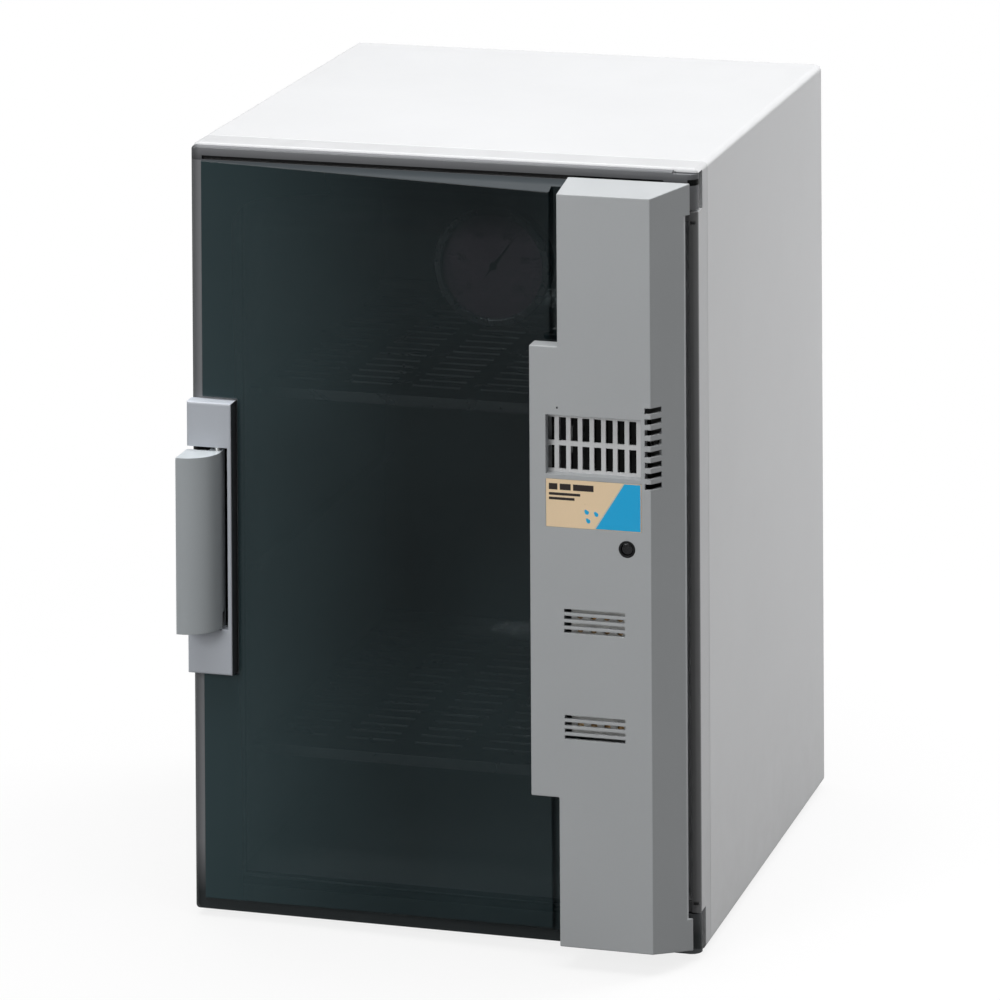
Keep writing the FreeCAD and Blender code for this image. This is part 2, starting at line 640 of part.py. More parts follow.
def ear_spans():
    """The z spans of the lower and the upper hinge ear of the door."""
    return ((above("door_margin"), above("(%s)" % EAR_TALL)),
            (above("ear_low"), above("ear_high")))


def module_screw_places():
    return [(x, above(z)) for x in ("boss_left", "hollow_right - screw_side - screw_head")
            for z in ("boss_low + screw_rise", "boss_high - screw_rise")]


def latch_plate():
    body = new_body("latch_plate")
    left = "-%s" % HALF_WIDTH
    right = "-%s + latch_right" % HALF_WIDTH
    front_view(body, ahead("latch_proud"), behind("0"),
               rectangle(left, right, above("latch_low"), above("latch_high")))
    soften(body, "latch_gap", lambda edge: near_value(
        edge.BoundBox.YMax, face_y() - size("latch_proud")))
    front_view(body, ahead("latch_proud"), behind("0"), rectangle(
        left, right + " - latch_strip", above("cut_low"), above("cut_high")), cut=True)
    plan_view(body, above("cut_low - latch_pin_over"), above("cut_high + latch_pin_over"),
              circle(left + " + pivot_inset", ahead("pivot_front"), "pin_radius"), cut=True)


def latch_pin():
    body = new_body("latch_pin")
    plan_view(body, above("cut_low - latch_pin_over"), above("cut_high + latch_pin_over"),
              circle("-%s + pivot_inset" % HALF_WIDTH, ahead("pivot_front"), "pin_radius"))


def latch_handle():
    body = new_body("latch_handle")
    left = "-%s" % HALF_WIDTH
    low, high = above("grip_low"), above("grip_high")
    right = left + " + grip_right"
    shoulder = ahead("grip_shoulder_front")
    plan_view(body, low, high, polygon(
        (left, ahead("grip_back")), (left, ahead("grip_front")), (right, ahead("grip_front")),
        (right, shoulder), (left + " + grip_shoulder", shoulder),
        (left + " + grip_shoulder", ahead("grip_back"))))
    front_right = size("grip_right") - size("overall_width") / 2
    soften(body, "grip_curve", lambda edge: lies_along(edge, "z")
           and near_value(middle(edge).x, front_right)
           and near_value(middle(edge).y, face_y() - size("grip_front")))
    hook_low, hook_high = above("hook_low"), above("hook_high")
    plan_view(body, hook_low, hook_high, rectangle(
        left + " + hook_left", left + " + hook_right", ahead("grip_back + hook_root"),
        behind("hook_behind")))
    plan_view(body, hook_low, hook_high, rectangle(
        left + " + hook_right - hook_root", left + " + hook_nose", behind("hook_behind - nose_thick"),
        behind("hook_behind")))
    centre = (left + " + pivot_inset", ahead("pivot_front"))
    plan_view(body, low, high, circle(*centre, "pin_radius + running_gap"), cut=True)
    plan_view(body, low, low + " + spring_seat_tall",
              circle(*centre, "spring_seat_radius"), cut=True)


# ---------------------------------------------------------------- module on the door

def module_outline(wall, right):
    """The housing's plan: a slab with a slanted face towards the hinge."""
    front = ahead("module_depth - %s" % wall)
    back = ahead("module_back")
    return polygon(("module_left + %s" % wall, back), ("module_left + %s" % wall, front),
                   ("module_corner - corner_lean * %s" % wall, front), (right, back))


def module_housing():
    body = new_body("module_housing")
    low, high = above("module_low"), above("module_high")
    plan_view(body, low, high, module_outline("0", "module_right"))
    back, front = ahead("module_back"), ahead("module_depth")
    step_rear = ahead("module_depth - step_deep")
    plan_view(body, above("step_low"), above("step_high"), rectangle(
        "module_step", "module_left + module_wall", front, step_rear))
    plan_view(body, above("notch_low"), above("notch_high"), rectangle(
        "module_right - notch_reach", "module_right", front, back), cut=True)
    for level, slope in ((high, " - module_slope"), (low, " + module_slope")):
        side_view(body, "module_step", "module_right", polygon(
            (back, level), (front, level + slope), (front, level)), cut=True)
    front_plane = face_y() - size("module_depth")
    soften(body, "housing_edge", lambda edge: near_value(edge.BoundBox.YMin, front_plane))
    inner_low, inner_high = above("module_low + module_slope + module_wall"), above(
        "module_high - module_slope - module_wall")
    plan_view(body, inner_low, inner_high,
              module_outline("module_wall", "module_right - notch_reach - slant_wall"),
              cut=True)
    plan_view(body, above("step_low + module_wall"), above("step_high - module_wall"), rectangle(
        "module_step + module_wall", "module_left + module_wall",
        ahead("module_depth - module_wall"), step_rear + " - step_back"), cut=True)
    grille_back = ahead("grille_front")
    front_view(body, ahead("module_depth - module_wall / 2"), grille_back, rectangle(
        "window_left - frame_wall", "window_right + frame_wall",
        above("window_low - frame_wall"), above("window_high + frame_wall")))
    front_view(body, front, grille_back, rectangle(
        "window_left", "window_right", above("window_low"), above("window_high")), cut=True)
    louvres = []
    for step in range(int(size("louvre_count"))):
        level = above("louvre_low + %d * louvre_step" % step)
        louvres.append(rectangle("louvre_left", "louvre_right", level, level + " + louvre_tall"))
    front_view(body, front, ahead("module_depth - louvre_deep"), *louvres, cut=True)
    slots = []
    for group in range(2):
        for step in range(int(size("slot_count"))):
            level = above("slot_low_set + %d * slot_set_rise + %d * slot_step" % (group, step))
            slots.append(rectangle("slot_start", "slot_end", level, level + " + slot_tall"))
    front_view(body, front, ahead("module_depth - module_wall"), *slots, cut=True)
    front_view(body, front, ahead("module_depth - label_deep"), rectangle(
        "label_left", "label_right", above("label_low"), above("label_high")), cut=True)
    front_view(body, front, ahead("module_depth - module_wall"),
               circle("lens_centre", above("lens_level"), "ring_radius"),
               circle("reset_centre", above("reset_level"), "reset_radius"), cut=True)
    bored_discs(body, ahead("boss_front"), ahead("module_back + chassis_thick"),
                module_screw_places(), "boss_radius")
    bored_discs(body, ahead("module_back + module_screw_long"),
                ahead("module_back + chassis_thick"), module_screw_places(), "screw_shank",
                cut=True)
    plan_view(body, low, inner_low, circle("inlet_centre", ahead("inlet_behind"),
                                           "inlet_radius"), cut=True)


def module_chassis():
    body = new_body("module_chassis")
    near, far = ahead("module_back + chassis_thick"), ahead("module_back")
    front_view(body, near, far, rectangle("chassis_left", "chassis_right",
                                          above("chassis_low"), above("chassis_high")))
    front_view(body, near, far, *inlet_slots("0"), cut=True)
    bored_discs(body, near, far, module_screw_places(), "screw_shank", cut=True)
    front_view(body, ahead("bracket_front"), near, *[rectangle(
        left, left + " + bracket_thick", above("bracket_low"), above("bracket_high"))
        for left in ("bracket_left", "bracket_right")])
    bored_discs(body, ahead("board_behind - board_thick"), near, board_corners(), "post_radius")
    lamp_back = ahead("module_depth - lens_long - lamp_gap - lamp_long - board_thick")
    front_view(body, lamp_back, near, circle("lens_centre", above("lens_level"), "post_radius"))


def board_corners():
    return [(x, above(z)) for x in ("board_left + post_inset", "board_right - post_inset")
            for z in ("board_low + post_inset", "board_high - post_inset")]


def inlet_slots(shift):
    slots = []
    for step in range(int(size("inlet_count"))):
        left = "inlet_first + %d * vent_step + %s" % (step, shift)
        slots.append(rectangle(left, left + " + vent_wide", above("inlet_low"),
                               above("inlet_low + inlet_tall")))
    return slots


def module_screws():
    body = new_body("module_screws")
    seat = ahead("door_raise - door_wall")
    bored_discs(body, seat, seat + " + screw_head_tall", module_screw_places(), "screw_head")
    bored_discs(body, ahead("module_back + module_screw_long"), seat, module_screw_places(),
                "screw_shank")


def vent_slots(shift):
    slots = []
    for step in range(int(size("vent_count"))):
        left = "vent_first + %d * vent_step + %s" % (step, shift)
        for rise in ("0", "vent_rise"):
            low = above("vent_low + %s" % rise)
            slots.append(rectangle(left, left + " + vent_wide", low, low + " + vent_tall"))
    return slots


def vent_grille():
    body = new_body("vent_grille")
    near, far = ahead("grille_front"), ahead("grille_front - grille_thick")
    front_view(body, near, far, rectangle(
        "window_left - grille_border", "window_right + grille_border",
        above("window_low - grille_border"), above("window_high + grille_border")))
    front_view(body, near, far, *vent_slots("0"), cut=True)


def outer_shutter():
    body = new_body("outer_shutter")
    near = ahead("grille_front - grille_thick - shutter_gap")
    far = near + " + shutter_thick"
    front_view(body, near, far, rectangle(
        "window_left + shutter_travel / 2", "link_right", above("vent_low - shutter_lap"),
        above("vent_low + vent_rise + vent_tall + shutter_lap")))
    slots = vent_slots("shutter_travel")[:-2]
    front_view(body, near, far, *slots, cut=True)


def inner_shutter():
    body = new_body("inner_shutter")
    far = ahead("module_back + chassis_thick + shutter_gap")
    near = far + " - shutter_thick"
    low, high = above("inlet_low - shutter_lap"), above(
        "inlet_low + inlet_tall + shutter_lap")
    left = "bracket_left + bracket_thick + shutter_travel + shutter_gap"
    front_view(body, near, far, rectangle(left, "link_right", low, high))
    front_view(body, near, far, *inlet_slots("0"), cut=True)


def shutter_link():
    body = new_body("shutter_link")
    near = ahead("grille_front - grille_thick - shutter_gap - shutter_thick")
    far = ahead("module_back + chassis_thick + shutter_gap + shutter_thick")
    front_view(body, near, far, rectangle("link_left", "link_right",
                                          above("link_low"), above("link_high")))


def helix_spring(label, start, axis, radius, wire, pitch, length):
    """A round-wire coil spring whose axis leaves the start point along the given axis."""
    helix = Part.makeHelix(pitch, length, radius)
    ring = Part.Wire(Part.makeCircle(wire, Vector(radius, 0, 0), Vector(0, 1, 0)))
    coil = Part.Wire(helix.Edges).makePipeShell([ring], True, True)
    feature = doc.addObject("Part::Feature", label)
    feature.Label = label
    feature.Shape = coil
    feature.Placement = FreeCAD.Placement(start, FreeCAD.Rotation(Vector(0, 0, 1), axis))
    PARTS.append(feature)


def springs():
    base = size("foot_height")
    front = face_y()
    helix_spring("latch_spring", Vector(
        size("pivot_inset") - size("overall_width") / 2, front - size("pivot_front"),
        base + size("grip_low") + size("spring_lift")), Vector(0, 0, 1), size("coil_radius"),
        size("wire_radius"), size("coil_pitch"), size("coil_tall"))
    drive_y = front - size("drive_behind")
    drive_z = base + size("drive_level")
    gap = size("spring_gap")
    helix_spring("actuator_spring", Vector(
        size("bracket_left") + size("bracket_thick") + gap, drive_y, drive_z),
        Vector(1, 0, 0), size("drive_radius"), size("drive_wire"), size("actuator_pitch"),
        size("actuator_long"))
    helix_spring("bias_spring", Vector(size("link_right") + gap, drive_y, drive_z),
                 Vector(1, 0, 0), size("drive_radius"), size("drive_wire"), size("bias_pitch"),
                 size("bias_long"))


def label_plate():
    body = new_body("label_plate")
    front_view(body, ahead("module_depth - running_gap"), ahead("module_depth - label_deep"),
               rectangle("label_left + label_gap", "label_right - label_gap",
                         above("label_low + label_gap"), above("label_high - label_gap")))


def indicator():
    ring = new_body("indicator_ring")
    centre = ("lens_centre", above("lens_level"))
    near, far = ahead("module_depth"), ahead("module_depth - lens_long")
    front_view(ring, near, far, circle(*centre, "ring_radius"))
    front_view(ring, near, far, circle(*centre, "lens_radius"), cut=True)
    lens = new_body("indicator_lens")
    front_view(lens, ahead("module_depth - lens_sunk"), far, circle(*centre, "lens_radius"))
    soften(lens, "lens_radius / 4", lambda edge: near_value(
        edge.BoundBox.YMax, face_y() - size("module_depth") + size("lens_sunk")))
    lamp = new_body("indicator_lamp")
    lamp_front = ahead("module_depth - lens_long - lamp_gap")
    front_view(lamp, lamp_front, lamp_front + " + lamp_long", circle(*centre, "lamp_radius"))
    soften(lamp, "lamp_radius / 2", lambda edge: near_value(
        edge.BoundBox.YMax, face_y() - size("module_depth") + size("lens_long")
        + size("lamp_gap")))
    board = new_body("lamp_board")
    seat = lamp_front + " + lamp_long"
    front_view(board, seat, seat + " + board_thick", rectangle(
        centre[0] + " - lamp_board_half", centre[0] + " + lamp_board_half",
        centre[1] + " - lamp_board_half", centre[1] + " + lamp_board_half"))


def desiccant_pack():
    case = new_body("desiccant_case")
    near, far = ahead("pack_front"), ahead("pack_back")
    outer = ("pack_left", "pack_right", above("pack_low"), above("pack_high"))
    front_view(case, near, far, rectangle(*outer))
    inner = ("pack_left + pack_wall", "pack_right - pack_wall", above("pack_low + pack_wall"),
             above("pack_high - pack_wall"))
    front_view(case, near + " + pack_wall", far, rectangle(*inner), cut=True)
    holes = [circle("pack_left + pack_hole_side + %d * pack_hole_step" % column,
                    above("pack_low + pack_hole_rise"), "pack_hole") for column in range(PACK_COLUMNS)]
    front_view(case, near, near + " + pack_wall", *holes, cut=True)
    repeat(case, "Z_Axis", "pack_hole_step", PACK_ROWS)
    cover = new_body("desiccant_cover")
    front_view(cover, far, far + " + pack_wall", rectangle(*outer))
    front_view(cover, far, far + " + pack_wall", *holes, cut=True)
    repeat(cover, "Z_Axis", "pack_hole_step", PACK_ROWS)
    fill = new_body("desiccant_fill")
    front_view(fill, near + " + pack_wall + fill_gap", far + " - fill_gap", rectangle(
        "pack_left + pack_wall + fill_gap", "pack_right - pack_wall - fill_gap",
        above("pack_low + pack_wall + fill_gap"), above("pack_high - pack_wall - fill_gap")))
    soften(fill, "pack_wall * 2", lambda edge: lies_along(edge, "y"))
    heater_near = "(%s + %s) / 2 - heater_thick / 2" % (near, far)
    heater_outline = ("pack_left + heater_margin", "pack_right - heater_margin",
                      above("pack_low + heater_margin"), above("pack_high - heater_margin"))
    front_view(fill, heater_near, heater_near + " + heater_thick", rectangle(*heater_outline),
               cut=True)
    heater = new_body("heater_plate")
    front_view(heater, heater_near, heater_near + " + heater_thick", rectangle(*heater_outline))


def electrics():
    board = new_body("circuit_board")
    near = ahead("board_behind")
    front_view(board, near, near + " + board_thick", rectangle(
        "board_left", "board_right", above("board_low"), above("board_high")))
    parts = new_body("board_components")
    front_view(parts, near + " - relay_tall", near, rectangle(
        "board_left + relay_left", "board_left + relay_right",
        above("board_low + relay_low"), above("board_low + relay_high")))
    front_view(parts, near + " - chip_tall", near, rectangle(
        "board_left + chip_left", "board_left + chip_right",
        above("board_low + chip_low"), above("board_low + chip_high")), rectangle(
        "board_left + fuse_left", "board_left + fuse_right",
        above("board_low + fuse_low"), above("board_low + fuse_high")))
    front_view(parts, near + " - can_tall", near,
               *[circle("board_left + can_across", above("board_low + " + level), "can_radius")
                 for level in ("can_low", "can_high")])
    inlet = new_body("power_inlet")
    centre = ("inlet_centre", ahead("inlet_behind"))
    low = above("module_low + module_slope * %s" % INLET_SLOPE)
    plan_view(inlet, low, low + " + inlet_tip", circle(*centre, "inlet_radius"))
    plan_view(inlet, low, low + " + inlet_tip - inlet_end", circle(*centre, "inlet_socket"), cut=True)


def power_leads():
    """Two supply wires that rise from the inlet, step sideways and end at the circuit board."""
    base = size("foot_height")
    bend = size("lead_bend")
    start_z = base + size("module_low") + size("module_slope") * INLET_SLOPE + size("inlet_tip")
    end_z = base + size("board_low") + size("lead_lap")
    front = face_y()
    wires = []
    for side in (-1, 1):
        start = Vector(size("inlet_centre") + size("lead_apart") / 2 * side,
                       front - size("inlet_behind"), start_z)
        end = Vector(size("inlet_centre") + size("lead_shift") + size("lead_spread") * side,
                     front - size("board_behind") - 2 * size("lead_radius"), end_z)
        level = (start_z + end_z) / 2 - size("lead_spread") / 2 * side
        across = Vector(end.x - start.x, end.y - start.y, 0)
        across.normalize()
        turn = bend * math.sqrt(0.5)
        rise = Vector(start.x, start.y, level - bend)
        run = Vector(start.x, start.y, level) + across * bend
        stop = Vector(end.x, end.y, level) - across * bend
        lift = Vector(end.x, end.y, level + bend)
        first = rise + across * (bend - turn) + Vector(0, 0, turn)
        second = lift - across * (bend - turn) - Vector(0, 0, turn)
        spine = Part.Wire([
            Part.makeLine(start, rise), Part.Arc(rise, first, run).toShape(),
            Part.makeLine(run, stop), Part.Arc(stop, second, lift).toShape(),
            Part.makeLine(lift, end)])
        section = Part.Wire(Part.makeCircle(size("lead_radius"), start, Vector(0, 0, 1)))
        wires.append(spine.makePipeShell([section], True, False))
    feature = doc.addObject("Part::Feature", "power_leads")
    feature.Label = "power_leads"
    feature.Shape = Part.makeCompound(wires)
    PARTS.append(feature)


def inner_vent_cover():
    body = new_body("inner_vent_cover")
    near = ahead("door_raise - door_wall")
    front_view(body, near, near + " + cover_thick", rectangle(
        "cover_left", "cover_right", above("cover_low"), above("cover_high")))
    soften(body, "cover_round", lambda edge: lies_along(edge, "y"))
    slots = []
    for line in range(SLAT_COUNT):
        low = above("cover_low + slat_first + %d * cover_step" % line)
        slots.append(rectangle("cover_left + slat_side", "cover_right - slat_side",
                               low, low + " + cover_step / 2"))
    front_view(body, near, near + " + cover_thick", *slots, cut=True)


# ---------------------------------------------------------------- hygrometer

def hygrometer():
    centre = ("dial_centre", above("dial_level"))
    near = ahead("door_raise - door_wall")
    seat = near + " + ring_thick"
    ring = new_body("hygrometer_ring")
    front_view(ring, near, seat, circle(*centre, "dial_ring_radius"))
    front_view(ring, near, seat, circle(*centre, "ring_inner"), cut=True)
    edge_y = face_y() - size("door_raise") + size("door_wall")
    soften(ring, "ring_thick / 3", lambda edge: near_value(edge.BoundBox.YMax, edge_y))
    window = new_body("hygrometer_window")
    front_view(window, near + " + window_seat", near + " + window_seat + window_thick",
               circle(*centre, "ring_inner"))
    case = new_body("hygrometer_case")
    front_view(case, seat, seat + " + case_depth", circle(*centre, "case_radius"))
    front_view(case, seat, seat + " + case_depth - case_wall",
               circle(*centre, "case_radius - case_wall"), cut=True)
    dial = new_body("hygrometer_dial")
    dial_y = seat + " + dial_seat"
    front_view(dial, dial_y, dial_y + " + dial_thick",
               circle(*centre, "case_radius - case_wall"))
    front_view(dial, dial_y, dial_y + " + dial_thick",
               circle(*centre, "shaft_radius + running_gap"), cut=True)
    movement = new_body("hygrometer_movement")
    movement_y = dial_y + " + dial_thick"
    front_view(movement, movement_y, movement_y + " + movement_deep",
               circle(*centre, "movement_radius"))
    front_view(movement, movement_y, movement_y + " + movement_deep",
               circle(*centre, "shaft_radius + running_gap"), cut=True)
    needle = new_body("hygrometer_needle")
    needle_y = dial_y + " - needle_thick - needle_gap"
    tip = needle_point("needle_long", "0")
    tail = needle_point("-needle_tail", "0")
    left = needle_point("0", "-needle_half")
    right = needle_point("0", "needle_half")
    front_view(needle, needle_y, needle_y + " + needle_thick", polygon(tip, right, tail, left))
    front_view(needle, needle_y, needle_y + " + needle_thick", circle(*centre, "hub_radius"))
    front_view(needle, needle_y, movement_y + " + movement_deep - shaft_stop",
               circle(*centre, "shaft_radius"))


def needle_point(along, across):
    """A point on the needle, from its distances along and across the pointing direction."""
    lean = math.radians(size("needle_lean"))
    sine, cosine = "%.6f" % math.sin(lean), "%.6f" % math.cos(lean)
    return ("dial_centre + (%s) * %s + (%s) * %s" % (along, sine, across, cosine),
            above("dial_level + (%s) * %s - (%s) * %s" % (along, cosine, across, sine)))


# ---------------------------------------------------------------- assembly and export

def build():
    outer_shell()
    front_bezel()
    inner_liner()
    rear_panel()
    rear_screws()
    feet()
    hinge_pins()
    door_gasket()
    shelf("lower_shelf", 0)
    shelf("upper_shelf", 2)
    latch_keeper()
    door_panel()
    latch_plate()
    latch_pin()
    latch_handle()
    module_housing()
    module_chassis()
    module_screws()
    vent_grille()
    outer_shutter()
    inner_shutter()
    shutter_link()
    springs()
    label_plate()
    indicator()
    desiccant_pack()
    electrics()
    power_leads()
    inner_vent_cover()
    hygrometer()


def check_and_export():
    doc.recompute()
    for thing in doc.Objects:
        if "Invalid" in thing.State or "Error" in thing.State:
            raise RuntimeError("%s failed to build" % thing.Label)
    os.makedirs("parts", exist_ok=True)
    for part in PARTS:
        if part.Shape.isNull() or not part.Shape.isValid():
            raise RuntimeError("%s has no valid shape" % part.Label)
    for part in PARTS:
        part.Shape.exportStep(os.path.join("parts", part.Label + ".step"))


build()
check_and_export()
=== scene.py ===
"""Looks, light and camera for the desktop dry cabinet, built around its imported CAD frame."""
import math

import bmesh
import bpy
from mathutils import Matrix, Vector


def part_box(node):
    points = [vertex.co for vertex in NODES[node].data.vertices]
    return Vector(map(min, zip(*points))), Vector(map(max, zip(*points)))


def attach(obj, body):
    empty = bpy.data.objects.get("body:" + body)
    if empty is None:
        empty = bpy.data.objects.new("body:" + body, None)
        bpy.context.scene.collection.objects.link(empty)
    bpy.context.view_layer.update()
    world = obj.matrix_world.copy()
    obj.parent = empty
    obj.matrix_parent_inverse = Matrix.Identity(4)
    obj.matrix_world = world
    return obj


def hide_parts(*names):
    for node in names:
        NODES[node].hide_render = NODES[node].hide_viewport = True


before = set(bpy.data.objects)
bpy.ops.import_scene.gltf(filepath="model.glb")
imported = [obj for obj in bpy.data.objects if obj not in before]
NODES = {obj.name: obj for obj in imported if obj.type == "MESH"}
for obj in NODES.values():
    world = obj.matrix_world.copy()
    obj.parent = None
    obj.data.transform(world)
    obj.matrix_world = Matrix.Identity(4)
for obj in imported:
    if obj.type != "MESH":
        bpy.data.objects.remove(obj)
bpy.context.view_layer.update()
MM = 0.001


def corners(name):
    """A CAD node's lowest and highest corners, to a hundredth of a millimetre."""
    return [[round(value, 5) for value in corner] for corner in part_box(name)]


(_, BEZEL_FRONT, _), (BEZEL_RIGHT, _, _) = corners("front_bezel")
(DOOR_LEFT, _, DOOR_FOOT), (_, _, DOOR_TOP) = corners("door_panel")
(_, _, LATCH_FOOT), (LATCH_RIGHT, _, LATCH_TOP) = corners("latch_plate")

# The part of its 0 to 1 range that a noise texture mostly fills.
NOISE_LOW, NOISE_HIGH = 0.3, 0.7


# ---------------------------------------------------------------- node graphs

class Graph:
    """A material's node tree with short calls to fill it."""

    def __init__(self, name):
        self.material = bpy.data.materials.new(name)
        self.material.use_nodes = True
        self.tree = self.material.node_tree
        self.tree.nodes.clear()
        coords = self.add("TexCoord")
        self.place = coords.outputs["Object"]

    def add(self, kind, inputs=None, **settings):
        node = self.tree.nodes.new("ShaderNode" + kind)
        for key, value in settings.items():
            setattr(node, key, value)
        for socket, value in (inputs or {}).items():
            self.feed(node.inputs[socket], value)
        return node

    def feed(self, target, value):
        if isinstance(value, bpy.types.NodeSocket):
            self.tree.links.new(value, target)
        else:
            target.default_value = value

    def math(self, operation, first, second=0.0, clamp=False):
        node = self.add("Math", {0: first, 1: second}, operation=operation, use_clamp=clamp)
        return node.outputs[0]

    def times(self, first, second, clamp=False):
        return self.math("MULTIPLY", first, second, clamp)

    def remap(self, value, low, high, to_low=0.0, to_high=1.0):
        node = self.add("MapRange", {"Value": value, "From Min": low, "From Max": high,
                                     "To Min": to_low, "To Max": to_high})
        return node.outputs["Result"]

    def spread(self, noise, to_low=0.0, to_high=1.0):
        return self.remap(noise, NOISE_LOW, NOISE_HIGH, to_low, to_high)

    def noise(self, scale, detail=2.0, stretch=None, roughness=0.5, distortion=0.0):
        where = self.place
        if stretch:
            where = self.add("Mapping", {"Vector": self.place, "Scale": stretch}).outputs[0]
        node = self.add("TexNoise", {"Vector": where, "Scale": scale, "Detail": detail,
                                     "Roughness": roughness, "Distortion": distortion})
        return node.outputs["Fac"]

    def mix(self, factor, first, second, blend="MIX"):
        node = self.add("Mix", data_type="RGBA", blend_type=blend)
        self.feed(node.inputs["Factor"], factor)
        colours = [socket for socket in node.inputs if socket.type == "RGBA"]
        self.feed(colours[0], rgba(first))
        self.feed(colours[1], rgba(second))
        return [socket for socket in node.outputs if socket.type == "RGBA"][0]

    def scaled(self, colour, amount):
        """The colour with all its channels multiplied by one number."""
        grey = self.add("CombineXYZ", {0: amount, 1: amount, 2: amount}).outputs[0]
        return self.mix(1.0, colour, grey, blend="MULTIPLY")

    def shaders(self, share, first, second):
        return self.add("MixShader", {0: share, 1: first, 2: second}).outputs[0]

    def see_through(self, colour):
        return self.add("BsdfTransparent", {"Color": rgba(colour)}).outputs[0]

    def diffuse(self, colour):
        return self.add("BsdfDiffuse", {"Color": rgba(colour)}).outputs[0]

    def within(self, value, low, high):
        return self.times(self.math("GREATER_THAN", value, low),
                          self.math("LESS_THAN", value, high))

    def axes(self, vector=None):
        source = self.place if vector is None else vector
        return self.add("SeparateXYZ", {0: source}).outputs

    def true_normal(self):
        return self.add("NewGeometry").outputs["True Normal"]

    def finish(self, shader):
        output = self.add("OutputMaterial")
        self.tree.links.new(shader, output.inputs["Surface"])
        return self.material


def rgba(colour):
    if isinstance(colour, bpy.types.NodeSocket) or len(colour) == 4:
        return colour
    return (*colour, 1.0)


def shade(colour, factor):
    return tuple(min(1.0, channel * factor) for channel in colour)


def edge_mask(graph, radius):
    """1 where the surface turns sharply within the radius, and the rounded normal."""
    least_turn, full_turn = 0.004, 0.12
    bevel = graph.add("Bevel", {"Radius": radius}, samples=4).outputs["Normal"]
    dot = graph.add("VectorMath", {0: bevel, 1: graph.true_normal()},
                    operation="DOT_PRODUCT").outputs["Value"]
    turned = graph.math("SUBTRACT", 1.0, dot)
    return graph.remap(turned, least_turn, full_turn), bevel


def surface(name, colour, *, rough, grain, depth, mottle, wear_and_sheen, metal=0.0, spec=0.5,
            stretch=None, worn_and_sheen=None, edge=0.5, dust=0.0, rough_spread=0.08, painted_shade_zone=None,
            zone_shade=0.3, painted_top_light=1.0):
    """A moulded, painted or metal finish: broad colour drift, fine grain in the bump, smears
    in the roughness, paler edges (wear, and on some finishes a painted highlight) and a little
    dust towards the bottom. The grain's depth and the width of a paler edge are in mm. A
    painted_shade_zone picks faces that get painted shade, and painted_top_light paints light
    onto the faces that look up."""
    drift_scale, smear_scale = 9.0, 45.0
    speck_share, edge_gain = 0.6, 1.5
    fine_low, fine_high = 0.35, 0.65
    rub_low, rub_high = 0.35, 0.62
    dust_height, dust_colour = 0.12, (0.33, 0.31, 0.28)
    up_low, up_high = 0.5, 0.9

    graph = Graph(name)
    broad = graph.noise(drift_scale)
    smear = graph.noise(smear_scale, 4.0, roughness=0.65, distortion=0.6)
    fine = graph.noise(grain, 3.0, stretch=stretch, roughness=0.6)
    mask, normal = edge_mask(graph, edge * MM)
    base = graph.mix(graph.spread(broad), shade(colour, 1 - mottle), shade(colour, 1 + mottle))
    base = graph.scaled(base, graph.remap(fine, fine_low, fine_high, 1 - mottle * speck_share,
                                          1 + mottle * speck_share))
    # Paler edges: wear, and on finishes with a high value also a painted highlight along the
    # edges.
    rubbed_and_sheen = graph.times(graph.times(mask, wear_and_sheen), graph.remap(smear, rub_low, rub_high),
                         clamp=True)
    base = graph.mix(rubbed_and_sheen, base, worn_and_sheen or shade(colour, edge_gain))
    if dust:
        low = graph.remap(graph.axes()["Z"], 0.0, dust_height, 1.0, 0.0)
        settled = graph.times(graph.times(low, dust), graph.spread(smear), clamp=True)
        base = graph.mix(settled, base, dust_colour)
    # Painted shade: the zone's faces are darkened in the base colour.
    if painted_shade_zone:
        base = graph.mix(painted_shade_zone(graph), base, shade(colour, zone_shade))
    # Painted light: faces that look up are brightened in the base colour.
    if painted_top_light != 1.0:
        up_facing_painted_light = graph.axes(graph.true_normal())["Z"]
        base = graph.mix(graph.remap(up_facing_painted_light, up_low, up_high), base, shade(colour, painted_top_light))
    roughness = graph.spread(smear, rough - rough_spread, rough + rough_spread)
    bump = graph.add("Bump", {"Strength": 1.0, "Distance": depth * MM, "Height": fine,
                              "Normal": normal})
    shader = graph.add("BsdfPrincipled", {
        "Base Color": base, "Roughness": roughness, "Metallic": metal,
        "Specular IOR Level": spec, "Normal": bump.outputs[0]})
    return graph.finish(shader.outputs[0])


def hinge_pillar(graph):
    """Picks the strip and channel in front of the hinge, which get painted shade."""
    strip_wide, strip_deep = 15 * MM, 3.9 * MM
    across, depth, _ = graph.axes()
    return graph.times(graph.math("GREATER_THAN", across, BEZEL_RIGHT - strip_wide),
                       graph.math("LESS_THAN", depth, BEZEL_FRONT + strip_deep))


def right_side(graph):
    """Picks the faces that look to the right, which get painted shade."""
    side_low, side_high = 0.6, 0.9
    return graph.remap(graph.axes(graph.true_normal())["X"], side_low, side_high)


